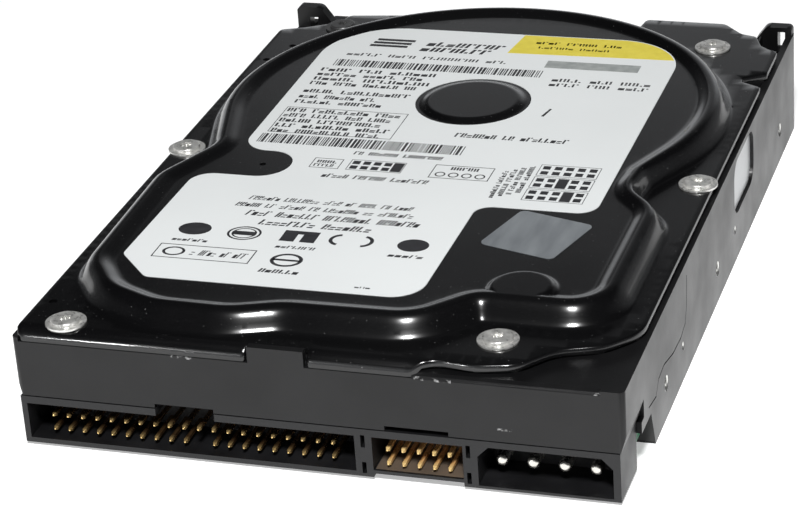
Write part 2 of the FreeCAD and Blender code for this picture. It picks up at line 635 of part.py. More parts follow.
def stator_core():
    """Laminated stator with nine teeth."""
    teeth = 9
    pieces = [ring(SPINDLE, 6.2, 4.2, 5.0, 7.6)]
    for index in range(teeth):
        angle = 360.0 * index / teeth
        stem = box(SPINDLE[0] + 5.8, SPINDLE[0] + 9.4, SPINDLE[1] - 0.7, SPINDLE[1] + 0.7, 5.0, 7.6)
        tip = sector(SPINDLE, 9.2, 10.2, -15.0, 15.0, 5.0, 7.6)
        pieces += [turned(stem, SPINDLE, angle), turned(tip, SPINDLE, angle)]
    return fuse(pieces)


def stator_coils():
    """Nine copper windings, one round each tooth."""
    coils = []
    for index in range(9):
        outer = box(SPINDLE[0] + 6.6, SPINDLE[0] + 9.0, SPINDLE[1] - 1.5, SPINDLE[1] + 1.5, 4.5, 8.1)
        inner = box(SPINDLE[0] + 6.0, SPINDLE[0] + 9.4, SPINDLE[1] - 0.7, SPINDLE[1] + 0.7, 5.0, 7.6)
        coils.append(turned(outer.cut(inner), SPINDLE, 360.0 * index / 9))
    return coils


def motor_hub():
    """Hub with the platter seat and the skirt that holds the rotor magnet."""
    barrel = disc(SPINDLE, HUB_RADIUS, 9.2, 16.4)
    seat = disc(SPINDLE, 15.5, 9.2, LOWER_PLATTER[0])
    skirt = ring(SPINDLE, 13.6, 12.2, 4.5, 9.3)
    holes = [disc(SPINDLE, BEARING_RADIUS, 9.0, 17.0)]
    holes += [disc(polar(SPINDLE, 9.0, 60 * index), 0.8, 13.4, 17.0) for index in range(6)]
    return cut(fuse([barrel, seat, skirt]), holes)


def rotor_magnet():
    """Ring magnet inside the hub's skirt."""
    return ring(SPINDLE, 12.2, 10.8, 4.8, 9.2)


def platter(levels):
    """One disk."""
    return ring(SPINDLE, PLATTER_RADIUS, PLATTER_BORE, levels[0], levels[1])


def platter_spacer():
    """Ring that holds the platters apart."""
    return ring(SPINDLE, 15.5, PLATTER_BORE, LOWER_PLATTER[1], UPPER_PLATTER[0])


def platter_clamp():
    """Clamp disc over the upper platter, with holes for its screws and for a spanner."""
    plate = ring(SPINDLE, 15.0, BEARING_RADIUS, UPPER_PLATTER[1], 17.6)
    holes = [disc(polar(SPINDLE, 9.0, 60 * index), 0.9, 16.0, 18.0) for index in range(6)]
    holes += [disc(polar(SPINDLE, 10.5, 60 * index + 30), 0.8, 16.0, 18.0) for index in range(6)]
    return cut(plate, holes)


def clamp_screws():
    """Six screws that hold the platter clamp."""
    return [torx_screw(polar(SPINDLE, 9.0, 60 * index), 1.8, 17.6, 18.6, 0.8, 13.6) for index in range(6)]


def bearing_places():
    """Centre and level of each ball bearing in the spindle and of each one in the actuator."""
    return [(SPINDLE, 9.8), (SPINDLE, 14.2)], [(PIVOT, 9.4), (PIVOT, 16.4)]


def inner_races():
    """Inner races of all four bearings, fixed on the shaft and the post."""
    spindle, pivot = bearing_places()
    return [ring(centre, INNER_RACE, SHAFT_RADIUS, level, level + 1.8) for centre, level in spindle + pivot]


def outer_races(places):
    """Outer races of one pair of bearings."""
    return [ring(centre, BEARING_RADIUS, OUTER_RACE, level, level + 1.8) for centre, level in places]


def balls(places):
    """Balls of one pair of bearings, riding with the outer races."""
    pieces = []
    for centre, level in places:
        for index in range(8):
            x, y = polar(centre, (INNER_RACE + OUTER_RACE) / 2, 45 * index)
            pieces.append(Part.makeSphere(BALL_RADIUS, Vector(x, y, level + 0.9)))
    return pieces


def standoff_places():
    """Centres of the posts between the magnet plates."""
    return [polar(PIVOT, STANDOFF_REACH, angle) for angle in STANDOFF_ANGLES]


def plate_screw_places():
    """Centres of the screws that hold the magnet plates, one through each post."""
    return standoff_places()


def stop_places():
    """Centres of the two crash stops."""
    return [polar(PIVOT, 11.0, -55.6), polar(PIVOT, 11.0, -137.2)]


def magnet_plate(bottom, top):
    """Steel plate of the voice coil motor, with an ear round each post."""
    pieces = [sector(PIVOT, PLATE_INNER, PLATE_OUTER, PLATE_START, PLATE_STOP, bottom, top)]
    for place, angle in zip(standoff_places(), (PLATE_START + 2.0, PLATE_STOP - 2.0)):
        pieces.append(disc(place, 3.4, bottom, top))
        low = min(angle, STANDOFF_ANGLES[0] if angle < -90 else STANDOFF_ANGLES[1])
        high = max(angle, STANDOFF_ANGLES[0] if angle < -90 else STANDOFF_ANGLES[1])
        pieces.append(sector(PIVOT, STANDOFF_REACH - 3.0, STANDOFF_REACH + 3.0, low, high, bottom, top))
    holes = [disc(place, 1.1, bottom - 1, top + 1) for place in standoff_places()]
    return cut(fuse(pieces), holes)


def magnet(bottom, top):
    """Kidney magnet on a plate."""
    return sector(PIVOT, COIL_INNER, COIL_OUTER - 0.3, PLATE_START + 3, PLATE_STOP - 3, bottom, top)


def plate_standoffs():
    """Posts between the magnet plates."""
    return [ring(place, 2.0, 1.1, 10.2, 17.4) for place in standoff_places()]


def plate_screws():
    """Screws through the magnet plates and posts into the floor."""
    return [torx_screw(place, 2.2, 19.6, 20.6, 1.0, 6.6) for place in plate_screw_places()]


def pivot_shaft():
    """Fixed post of the actuator, threaded for the screw from the cover."""
    post = disc(PIVOT, SHAFT_RADIUS, 6.4, 19.2)
    top = disc(PIVOT, SHAFT_RADIUS, 19.2, PLATEAU_INSIDE)
    return fuse([post, top]).cut(disc(PIVOT, 1.1, 18.4, 24.0))


def arm(bottom, top):
    """One arm of the actuator, pointing along +X from the pivot, tapered and pierced."""
    x, y = PIVOT
    plan = [(x, y - 7.6), (x + 16, y - 4.6), (x + 36, y - 2.6), (x + 38, y - 1.4),
            (x + 38, y + 1.4), (x + 36, y + 2.6), (x + 16, y + 4.6), (x, y + 7.6)]
    window = [(x + 13, y - 2.4), (x + 26, y - 1.3), (x + 26, y + 1.3), (x + 13, y + 2.4)]
    plate = plain_prism(plan, bottom, top).cut(plain_prism(window, bottom - 1, top + 1))
    return plate.cut(disc((x + 34, y), 1.0, bottom - 1, top + 1))


def actuator_block():
    """Aluminium block with three arms round the pivot, and a fork for the coil."""
    hub = disc(PIVOT, BLOCK_RADIUS, 8.8, 18.8)
    arms = [arm(9.2, 10.2), arm(13.1, 14.4), arm(17.4, 18.4)]
    fork_angle = 180.0 - 18.0
    fork = sector(PIVOT, 7.0, COIL_INNER, fork_angle, 360.0 - fork_angle, 12.5, 15.1)
    block = fuse([hub, fork] + arms).cut(disc(PIVOT, BEARING_RADIUS, 8.0, 20.0))
    return turned(block, PIVOT, PARK_ANGLE)


def voice_coil():
    """Flat copper coil between the magnets."""
    ends = (COIL_ANGLE - COIL_HALF_ANGLE, COIL_ANGLE + COIL_HALF_ANGLE)
    outer = sector(PIVOT, COIL_INNER, COIL_OUTER, ends[0] + 1.5, ends[1] - 1.5, 12.6, 15.0)
    inner = sector(PIVOT, COIL_INNER + 3.2, COIL_OUTER - 3.2, ends[0] + 12, ends[1] - 12, 12.0, 16.0)
    return outer.cut(inner)


def coil_overmould():
    """Resin frame along both sides of the coil."""
    ends = (COIL_ANGLE - COIL_HALF_ANGLE, COIL_ANGLE + COIL_HALF_ANGLE)
    sides = [sector(PIVOT, COIL_INNER, COIL_OUTER, ends[0], ends[0] + 1.5, 12.6, 15.0),
             sector(PIVOT, COIL_INNER, COIL_OUTER, ends[1] - 1.5, ends[1], 12.6, 15.0)]
    filling = sector(PIVOT, COIL_INNER + 3.2, COIL_OUTER - 3.2, ends[0] + 12, ends[1] - 12, 12.6, 15.0)
    return sides + [filling]


def head_levels():
    """Arm face, slider level and direction for each of the four heads."""
    return [(10.2, LOWER_PLATTER[0], 1), (13.1, LOWER_PLATTER[1], -1),
            (14.4, UPPER_PLATTER[0], 1), (17.4, UPPER_PLATTER[1], -1)]


def suspensions():
    """Four sprung steel strips from the arms to the heads."""
    x, y = PIVOT
    strips = []
    for face, disk, way in head_levels():
        far = disk - way * 0.45
        thick = way * 0.12
        profile = [(x + 33.0, face), (x + 41.0, face), (x + ARM_LENGTH + 0.8, far),
                   (x + ARM_LENGTH + 0.8, far + thick), (x + 41.0, face + thick), (x + 33.0, face + thick)]
        strip = profile_y(profile, y - 2.2, y + 2.2)
        plan = plain_prism([(x + 33, y - 2.2), (x + 41, y - 2.2), (x + ARM_LENGTH + 1, y - 0.7),
                            (x + ARM_LENGTH + 1, y + 0.7), (x + 41, y + 2.2), (x + 33, y + 2.2)], 9.0, 19.0)
        strips.append(turned(strip.common(plan), PIVOT, PARK_ANGLE))
    return strips


def sliders():
    """Four small head sliders on the ends of the suspensions."""
    x, y = PIVOT
    pieces = []
    for face, disk, way in head_levels():
        near = disk - way * 0.03
        far = disk - way * 0.33
        slider = box(x + ARM_LENGTH - 0.6, x + ARM_LENGTH + 0.6, y - 0.5, y + 0.5, min(near, far), max(near, far))
        pieces.append(turned(slider, PIVOT, PARK_ANGLE))
    return pieces


def preamp_chip():
    """Amplifier chip on the side of the actuator block."""
    x, y = PIVOT
    chip_body = box(x - 2.0, x + 2.0, y + 8.2, y + 9.0, 13.4, 15.6)
    return turned(chip_body, PIVOT, PARK_ANGLE)


def actuator_flex():
    """Flexible circuit along the block's side."""
    x, y = PIVOT
    strip = box(x - 4.0, x + 4.0, y + 7.9, y + 8.2, 11.5, 17.0)
    block = fuse([disc(PIVOT, BLOCK_RADIUS, 8.0, 20.0), arm(9.2, 10.2), arm(13.1, 14.4), arm(17.4, 18.4)])
    return turned(strip.cut(block), PIVOT, PARK_ANGLE)


def flex_bracket():
    """Bracket that ties down the fixed end of the flexible circuit."""
    x, y = BRACKET
    plate = box(x - 8.0, x + 8.0, y - 5.0, y + 5.0, FLOOR_TOP, FLOOR_TOP + 1.0)
    wall = box(x + 7.0, x + 8.0, y - 3.0, y + 5.0, FLOOR_TOP + 0.5, 17.0)
    return fuse([plate, wall]).cut(head_connector())


def flex_ribbon():
    """Flexible circuit from the bracket towards the actuator."""
    x, y = BRACKET
    outer = sector((x + 12.6, y + 3.0), 4.4, 4.6, 60.0, 180.0, 11.5, 16.5)
    straight = box(x + 8.0, x + 8.2, y - 2.0, y + 3.0, 11.5, 16.5)
    return fuse([straight, outer])


def crash_stops():
    """Two rubber-sleeved posts that stop the actuator's fork."""
    return [disc(place, 1.2, 6.6, 16.0) for place in stop_places()]


def latch_arm():
    """Lever that catches the actuator when the drive is knocked."""
    x, y = LATCH
    hub = disc(LATCH, 2.4, 12.0, 14.6)
    bar = plain_prism([(x, y - 1.6), (x + 8.0, y - 0.2), (x + 8.6, y + 2.2), (x + 7.2, y + 2.2),
                       (x, y + 1.6)], 12.4, 14.2)
    tail = plain_prism([(x, y - 1.4), (x, y + 1.4), (x - 7.0, y + 1.0), (x - 7.0, y - 1.0)], 12.4, 14.2)
    return fuse([hub, bar, tail]).cut(disc(LATCH, 1.25, 10.0, 16.0))


def latch_pin():
    """Pin with a shoulder that carries the latch."""
    shoulder = disc(LATCH, 2.2, FLOOR_TOP, 11.8)
    return fuse([disc(LATCH, 1.0, 6.6, FLOOR_TOP + 0.5), shoulder, disc(LATCH, 1.2, 11.5, 16.2)])


def latch_weight():
    """Brass weight on the latch's tail."""
    return disc((LATCH[0] - 5.8, LATCH[1]), 1.5, 14.2, 16.0)


def recirculation_filter():
    """Pleated filter pad that cleans the air thrown off the platters."""
    pad = box(-45.5, -34.5, -26.0, -22.4, FLOOR_TOP, 18.0)
    return turned(pad, (-40.0, -24.0), -14.0)


def save(name, shapes):
    """Write one node, a solid or a group of solids, and check it."""
    group = shapes if isinstance(shapes, list) else [shapes]
    solids = [solid for shape in group for solid in shape.Solids]
    for solid in solids:
        if not solid.isValid() or solid.Volume <= 0:
            print("bad solid in", name)
    whole = solids[0] if len(solids) == 1 else Part.makeCompound(solids)
    whole.exportStep(os.path.join("parts", name + ".step"))
    limits = whole.BoundBox
    print(f"{name:22s} {len(solids):3d} solids  x {limits.XMin:7.2f} {limits.XMax:7.2f}"
          f"  y {limits.YMin:7.2f} {limits.YMax:7.2f}  z {limits.ZMin:6.2f} {limits.ZMax:6.2f}")


def main():
    os.makedirs("parts", exist_ok=True)
    spindle_bearings, pivot_bearings = bearing_places()
    nodes = {
        "base_casting": base_casting(),
        "top_cover": top_cover(),
        "cover_gasket": cover_gasket(),
        "cover_screws": cover_screws(),
        "pivot_screw": pivot_screw(),
        "label": label(),
        "seal_sticker": seal_sticker(),
        "side_port_foil": side_port_foil(),
        "breather_filter": breather_filter(),
        "connector_housing": connector_housing(),
        "ide_pins": ide_pins(),
        "jumper_pins": jumper_pins(),
        "power_pins": power_pins(),
        "pcb": pcb(),
        "pcb_insulator": pcb_insulator(),
        "controller_chip": controller_chip(),
        "motor_driver_chip": chip(24.0, -14.0, 10.0, 12.0, 1.4, 16, 0.65),
        "memory_chip": chip(-22.0, -8.0, 10.0, 16.0, 1.1, 20, 0.7),
        "flash_rom": chip(6.0, -20.0, 5.0, 6.0, 1.3, 4, 1.27),
        "crystal": box(-2.0, 6.0, -34.0, -30.6, 1.9, BOARD_BOTTOM),
        "smd_passives": smd_passives(),
        "motor_contacts": motor_contacts(),
        "head_connector": head_connector(),
        "pcb_screws": pcb_screws(),
        "spindle_shaft": spindle_shaft(),
        "stator_core": stator_core(),
        "stator_coils": stator_coils(),
        "bearing_inner_races": inner_races(),
        "vcm_lower_plate": magnet_plate(FLOOR_TOP, 10.2),
        "vcm_upper_plate": magnet_plate(17.4, 19.6),
        "lower_magnet": magnet(10.2, 11.8),
        "upper_magnet": magnet(15.8, 17.4),
        "plate_standoffs": plate_standoffs(),
        "plate_screws": plate_screws(),
        "pivot_shaft": pivot_shaft(),
        "flex_bracket": flex_bracket(),
        "flex_ribbon": flex_ribbon(),
        "crash_stops": crash_stops(),
        "latch_pin": latch_pin(),
        "recirculation_filter": recirculation_filter(),
        "motor_hub": motor_hub(),
        "rotor_magnet": rotor_magnet(),
        "lower_platter": platter(LOWER_PLATTER),
        "upper_platter": platter(UPPER_PLATTER),
        "platter_spacer": platter_spacer(),
        "platter_clamp": platter_clamp(),
        "clamp_screws": clamp_screws(),
        "spindle_outer_races": outer_races(spindle_bearings),
        "spindle_balls": balls(spindle_bearings),
        "actuator_block": actuator_block(),
        "pivot_outer_races": outer_races(pivot_bearings),
        "pivot_balls": balls(pivot_bearings),
        "voice_coil": voice_coil(),
        "coil_overmould": coil_overmould(),
        "suspensions": suspensions(),
        "sliders": sliders(),
        "preamp_chip": preamp_chip(),
        "actuator_flex": actuator_flex(),
        "latch_arm": latch_arm(),
        "latch_weight": latch_weight(),
    }
    for name, shapes in nodes.items():
        save(name, shapes)
    print(len(nodes), "nodes")


main()
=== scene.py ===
import math
import random

import bmesh
import bpy
import numpy as np
from mathutils import Matrix, Vector
from mathutils.geometry import delaunay_2d_cdt


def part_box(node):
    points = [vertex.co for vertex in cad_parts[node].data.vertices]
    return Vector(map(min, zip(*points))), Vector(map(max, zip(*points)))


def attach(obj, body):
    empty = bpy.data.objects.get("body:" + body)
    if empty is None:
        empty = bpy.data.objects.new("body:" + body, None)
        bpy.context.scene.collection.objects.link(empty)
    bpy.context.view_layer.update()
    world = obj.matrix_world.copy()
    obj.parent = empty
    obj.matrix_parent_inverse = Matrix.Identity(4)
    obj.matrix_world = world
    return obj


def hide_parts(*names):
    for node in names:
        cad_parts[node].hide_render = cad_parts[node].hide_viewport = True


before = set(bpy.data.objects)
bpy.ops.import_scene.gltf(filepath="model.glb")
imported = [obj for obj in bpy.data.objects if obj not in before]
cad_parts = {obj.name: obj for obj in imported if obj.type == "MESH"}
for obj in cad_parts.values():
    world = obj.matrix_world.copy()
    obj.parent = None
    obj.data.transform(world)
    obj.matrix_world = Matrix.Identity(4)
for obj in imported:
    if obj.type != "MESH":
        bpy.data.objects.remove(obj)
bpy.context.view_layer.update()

MM = 0.001
random.seed(7)

# Places, lengths and heights are in millimetres: X to the right, Y to the rear, Z up
SPINDLE = (0.0, 20.6)
LABEL_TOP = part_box("label")[1].z / MM

# Cover: its levels, its sheet's thickness, and the radii of its bead and rear edge about the spindle
FLANGE_TOP = 21.8
PLATEAU_TOP = 24.5
SHEET = 0.9
BEAD_RADIUS = 44.1
REAR_EDGE_RADIUS = 50.2

# Bead: how far it stands over the plateau and the flange, and how wide its inner and outer sides are.
# Its outer side is narrower round one place at the right, by NARROWING at most.
INNER_RISE = 0.9
INNER_SLOPE = 2.8
OUTER_RISE = 3.6
OUTER_SLOPE = 4.0
OUTER_CURVE = 1.4
NARROWEST = (38.0, -9.0)
NARROWING = 1.6
NARROWING_SPREAD = 200.0

# Domes on the plateau
FRONT_DOME = (29.0, -51.0)
FRONT_DOME_RADIUS = 4.6
FRONT_DOME_SLOPE = 1.6
HUB_DOME = (0.6, 20.5)
HUB_DOME_RADIUS = 8.2
HUB_DOME_SLOPE = 1.9
HUB_DOME_RISE = 0.5
HUB_DOME_REACH = 10.2

# Rounded edge of the cover, and the lip that rolls down at its front. Its deep part ends at LIP_BOTTOM.
EDGE_ROLL = 0.35
EDGE_DROP = 0.22
LIP_START = -71.4
LIP_REACH = 2.0
LIP_RIGHT = 18.0
LIP_DROP = 2.6
LIP_CURVE = 0.9
LIP_BOTTOM = 19.5
DEEP_LIP_START = -72.7
DEEP_LIP_RIGHT = 16.6

# Holes in the cover: six for screws, and small ones as (place, radius)
COVER_SCREWS = [(-42.2, -70.2), (28.4, -63.5), (47.4, -2.4), (-47.4, -2.4), (37.5, 58.6), (-37.5, 58.6)]
SCREW_HOLE_RADIUS = 1.7
SMALL_HOLES = [((-29.0, -12.0), 0.6), ((-44.5, 48.0), 0.7), ((-47.3, 40.5), 0.7), ((-47.4, -63.5), 0.7)]

# Lines that the cover's mesh follows, and the grid of points between them
BEAD_OFFSETS = (-3.0, -2.6, -2.2, -1.8, -1.4, -1.0, -0.6, -0.3, 0.0, 0.3, 0.6, 1.0, 1.4, 1.8, 2.2, 2.6, 3.0,
                3.4, 3.7, 4.0)
FRONT_DOME_RINGS = (3.4, 4.2, 4.6, 4.85, 5.1, 5.35, 5.6, 5.85, 6.1, 6.35, 6.8)
HUB_DOME_RINGS = (7.9, 8.2, 8.6, 9.0, 9.4, 9.8, 10.1, 10.4)
LIP_ROWS = (-71.4, -71.8, -72.2, -72.5, -72.75, -72.95, -73.1, -73.25)
LIP_SPANS = ((-49.0, -11.2), (0.6, 16.0))
GRID_START = (-49.0, -71.0)
GRID_PITCH = 2.45
GRID_COLUMNS, GRID_ROWS = 41, 59

# Threaded holes in both side walls, as (place along the wall, radius, depth)
SIDE_WALL = 50.8
SIDE_HOLE_LEVEL = 6.35
SIDE_HOLES = [(-45.0, 1.38, 1.6), (-3.4, 1.38, 1.6), (56.6, 1.38, 1.6), (-32.22, 0.8, 0.8), (12.23, 0.8, 0.8)]

# Blocks where a material looks different, as two corners
WORN_BLOCKS = [((17.4, -74.0, 19.1), (19.0, -73.2, 19.7)), ((20.4, -74.0, 19.1), (23.4, -73.2, 19.6)),
               ((30.5, -74.0, 11.5), (32.9, -73.2, 11.9)), ((-23.0, -74.0, 19.0), (-19.5, -73.2, 19.4)),
               ((46.0, -74.0, 19.3), (47.2, -73.2, 19.7))]
# Jumper bay, where the plastic's brown tint is brightened as painted light
JUMPER_BAY = ((9.9, -73.0, 1.7), (24.4, -60.0, 8.6))
# Block round the rear left screw, whose colour is darkened as painted shade
SHADED_SCREW_BLOCK = ((-42.0, 54.0, 18.0), (-33.0, 63.0, 26.0))

# Along Y, the pins turn from their tip colour to their shank colour between these places
PIN_TIP_END = -72.3
PIN_SHANK_START = -70.8

# Brightness of the room by the height of a direction, from 0 at the horizon to 1 overhead, and its tint
SKY = ((0.0, 0.7), (0.2, 0.7), (0.3, 0.42), (0.37, 0.28), (0.40, 0.19), (0.455, 0.08), (0.52, 0.035),
       (1.0, 0.035))
SKY_TINT = (0.98, 1.0, 1.03)


# ---------------------------------------------------------------- camera, light, floor

def place_camera():
    """Camera close to the front right corner, looking down on the cover."""
    azimuth, elevation, roll = (math.radians(angle) for angle in (18.99, 26.26, -4.09))
    distance = 494.8 * MM
    target = Vector((-3.3, -14.5, 10.0)) * MM
    back = Vector((math.sin(azimuth) * math.cos(elevation), -math.cos(azimuth) * math.cos(elevation),
                   math.sin(elevation)))
    right = Vector((math.cos(azimuth), math.sin(azimuth), 0.0))
    up = back.cross(right)
    turned_right = right * math.cos(roll) + up * math.sin(roll)
    turned_up = up * math.cos(roll) - right * math.sin(roll)
    axes = Matrix((turned_right, turned_up, back)).transposed()
    data = bpy.data.cameras.new("camera")
    data.lens = 125.76
    data.sensor_width = 36.0
    data.clip_start = 0.01
    data.clip_end = 20.0
    camera = bpy.data.objects.new("camera", data)
    camera.matrix_world = Matrix.Translation(target + back * distance) @ axes.to_4x4()
    bpy.context.scene.collection.objects.link(camera)
    bpy.context.scene.camera = camera


def area_light(name, azimuth, elevation, distance, size, power):
    """Square lamp aimed at the middle of the drive, placed by its azimuth and elevation in degrees."""
    side, height = math.radians(azimuth), math.radians(elevation)
    away = Vector((math.sin(side) * math.cos(height), -math.cos(side) * math.cos(height), math.sin(height)))
    data = bpy.data.lights.new(name, "AREA")
    data.size = size
    data.energy = power
    lamp = bpy.data.objects.new(name, data)
    lamp.location = away * distance + Vector((0, 0, 12 * MM))
    lamp.rotation_mode = "QUATERNION"
    lamp.rotation_quaternion = away.to_track_quat("Z", "Y")
    bpy.context.scene.collection.objects.link(lamp)


def gradient(nodes, links, value, stops):
    """Sky colour along a value, from (position, level) stops."""
    ramp = nodes.new("ShaderNodeValToRGB")
    elements = ramp.color_ramp.elements
    elements.remove(elements[1])
    for index, (position, level) in enumerate(stops):
        element = elements[0] if index == 0 else elements.new(position)
        element.position = position
        element.color = (*(level * part for part in SKY_TINT), 1.0)
    links.new(value, ramp.inputs["Fac"])
    return ramp.outputs["Color"]


def room_light():
    """World that is pale near the horizon, dark overhead, and dimmer at the left and the right."""
    dim_left, dim_right = 0.15, 0.22
    world = bpy.data.worlds.new("room")
    world.use_nodes = True
    nodes, links = world.node_tree.nodes, world.node_tree.links
    direction = nodes.new("ShaderNodeTexCoord").outputs["Generated"]
    split = nodes.new("ShaderNodeSeparateXYZ")
    links.new(direction, split.inputs["Vector"])
    height = gradient(nodes, links, split.outputs["Z"], SKY)
    links.new(height, nodes["Background"].inputs["Color"])
    left = nodes.new("ShaderNodeMath")
    left.operation = "MAXIMUM"
    links.new(spread(nodes, links, split.outputs["X"], dim_left, 1.0, (-0.39, -0.325)), left.inputs[0])
    glow = product(nodes, links, spread(nodes, links, split.outputs["Z"], 1.0, dim_left, (0.12, 0.2)),
                   spread(nodes, links, split.outputs["X"], dim_left, 1.0, (-0.8, -0.7)))
    links.new(glow, left.inputs[1])
    right = spread(nodes, links, split.outputs["X"], 1.0, dim_right, (0.05, 0.3))
    links.new(product(nodes, links, left.outputs["Value"], right), nodes["Background"].inputs["Strength"])
    return world


def build_studio():
    """Pale floor, soft world light, and the lamps."""
    scene = bpy.context.scene
    scene.view_settings.view_transform = "Standard"
    scene.world = room_light()
    area_light("key", azimuth=17.0, elevation=50.0, distance=0.9, size=0.13, power=10.0)
    area_light("low_lamp", azimuth=-24.0, elevation=9.0, distance=0.9, size=0.03, power=0.45)
    mesh = bpy.data.meshes.new("floor")
    reach = 6.0
    mesh.from_pydata([(-reach, -reach, 0), (reach, -reach, 0), (reach, reach, 0), (-reach, reach, 0)], [],
                     [(0, 1, 2, 3)])
    floor = bpy.data.objects.new("floor", mesh)
    scene.collection.objects.link(floor)
    mesh.materials.append(floor_material())


# ---------------------------------------------------------------- materials

def start_material(name):
    """New node material: its nodes, links, shader and object coordinates."""
    material = bpy.data.materials.new(name)
    material.use_nodes = True
    nodes, links = material.node_tree.nodes, material.node_tree.links
    shader = nodes["Principled BSDF"]
    place = nodes.new("ShaderNodeTexCoord").outputs["Object"]
    return material, nodes, links, shader, place


def noise(nodes, links, place, scale, detail=3.0, stretch=(1.0, 1.0, 1.0)):
    """Noise value over the object, optionally stretched along an axis."""
    mapping = nodes.new("ShaderNodeMapping")
    mapping.inputs["Scale"].default_value = stretch
    links.new(place, mapping.inputs["Vector"])
    texture = nodes.new("ShaderNodeTexNoise")
    texture.inputs["Scale"].default_value = scale
    texture.inputs["Detail"].default_value = detail
    links.new(mapping.outputs["Vector"], texture.inputs["Vector"])
    return texture.outputs["Fac"]


def spread(nodes, links, value, low, high, source=(0.3, 0.7)):
    """Value moved from the source range to low..high."""
    node = nodes.new("ShaderNodeMapRange")
    node.inputs["From Min"].default_value, node.inputs["From Max"].default_value = source
    node.inputs["To Min"].default_value, node.inputs["To Max"].default_value = low, high
    links.new(value, node.inputs["Value"])
    return node.outputs["Result"]


def blend_colour(nodes, links, value, first, second):
    """Colour between two, by a value from 0 to 1."""
    node = nodes.new("ShaderNodeMix")
    node.data_type = "RGBA"
    node.inputs[6].default_value = (*first, 1.0)
    node.inputs[7].default_value = (*second, 1.0)
    links.new(value, node.inputs["Factor"])
    return node.outputs[2]


def bump(nodes, links, shader, height, depth_mm, strength):
    """Relief of the surface."""
    node = nodes.new("ShaderNodeBump")
    node.inputs["Strength"].default_value = strength
    node.inputs["Distance"].default_value = depth_mm * MM
    links.new(height, node.inputs["Height"])
    links.new(node.outputs["Normal"], shader.inputs["Normal"])


def grained(name, dark, light, roughness, metallic=0.0, grain=900.0, relief=0.02, patches=60.0,
            stretch=(1.0, 1.0, 1.0), strength=0.6):
    """Material with slow colour patches, a fine grain in its relief, and uneven roughness."""
    material, nodes, links, shader, place = start_material(name)
    slow = noise(nodes, links, place, patches, 4.0, stretch)
    fine = noise(nodes, links, place, grain, 2.0, stretch)
    colour = blend_colour(nodes, links, spread(nodes, links, slow, 0.0, 1.0), dark, light)
    links.new(colour, shader.inputs["Base Color"])
    links.new(spread(nodes, links, slow, roughness[0], roughness[1]), shader.inputs["Roughness"])
    bump(nodes, links, shader, fine, relief, strength)
    shader.inputs["Metallic"].default_value = metallic
    return material


def tint(nodes, links, value, colour, over):
    """A colour changed to another one where a value is 1."""
    node = nodes.new("ShaderNodeMix")
    node.data_type = "RGBA"
    links.new(value, node.inputs["Factor"])
    links.new(colour, node.inputs[6])
    node.inputs[7].default_value = (*over, 1.0)
    return node.outputs[2]


def floor_material():
    """Pale studio surface that also glows a little, so that it stays white."""
    material, nodes, links, shader, place = start_material("studio_floor")
    slow = noise(nodes, links, place, 2.0)
    colour = blend_colour(nodes, links, slow, (0.86, 0.87, 0.87), (0.9, 0.9, 0.9))
    links.new(colour, shader.inputs["Base Color"])
    shader.inputs["Roughness"].default_value = 0.6
    shader.inputs["Emission Color"].default_value = (1.0, 1.0, 1.0, 1.0)
    shader.inputs["Emission Strength"].default_value = 0.42
    return material


def cover_paint():
    """Gloss black paint with faint orange peel and a few specks of dust."""
    material, nodes, links, shader, place = start_material("gloss_black_paint")
    slow = noise(nodes, links, place, 40.0, 4.0)
    dust = noise(nodes, links, place, 2600.0, 1.0)
    speck = spread(nodes, links, dust, 0.0, 1.0, (0.77, 0.785))
    links.new(blend_colour(nodes, links, speck, (0.003, 0.003, 0.0033), (0.10, 0.10, 0.10)),
              shader.inputs["Base Color"])
    links.new(spread(nodes, links, slow, 0.15, 0.23), shader.inputs["Roughness"])
    peel = noise(nodes, links, place, 420.0, 1.0)
    bump(nodes, links, shader, peel, 0.02, 0.18)
    shader.inputs["Coat Weight"].default_value = 0.35
    shader.inputs["Coat Roughness"].default_value = 0.06
    return material


def paper():
    """White coated label paper."""
    return grained("label_paper", (0.75, 0.775, 0.775), (0.79, 0.815, 0.815), (0.38, 0.48), grain=2500.0,
                   relief=0.01, patches=25.0, strength=0.3)


def ink(name, dark, light):
    """Printed ink, slightly uneven."""
    return grained(name, dark, light, (0.35, 0.5), grain=3000.0, relief=0.004, patches=700.0, strength=0.2)


def steel(name, dark, light, roughness):
    """Bright plated steel with fine tool marks."""
    return grained(name, dark, light, roughness, metallic=1.0, grain=2200.0, relief=0.012, patches=500.0,
                   strength=0.5)


def within(nodes, links, value, low_mm, high_mm):
    """1 where a coordinate lies between two limits, else 0."""
    node = nodes.new("ShaderNodeMath")
    node.operation = "COMPARE"
    node.inputs[1].default_value = (low_mm + high_mm) / 2 * MM
    node.inputs[2].default_value = (high_mm - low_mm) / 2 * MM
    links.new(value, node.inputs[0])
    return node.outputs["Value"]


def product(nodes, links, *values):
    """Product of several values."""
    total = values[0]
    for value in values[1:]:
        node = nodes.new("ShaderNodeMath")
        node.operation = "MULTIPLY"
        links.new(total, node.inputs[0])
        links.new(value, node.inputs[1])
        total = node.outputs["Value"]
    return total


def block_mask(nodes, links, place, low, high):
    """1 inside a block of the drive, given by two corners in millimetres."""
    split = nodes.new("ShaderNodeSeparateXYZ")
    links.new(place, split.inputs["Vector"])
    return product(nodes, links, *[within(nodes, links, split.outputs[axis], start, stop)
                                   for axis, start, stop in zip("XYZ", low, high)])


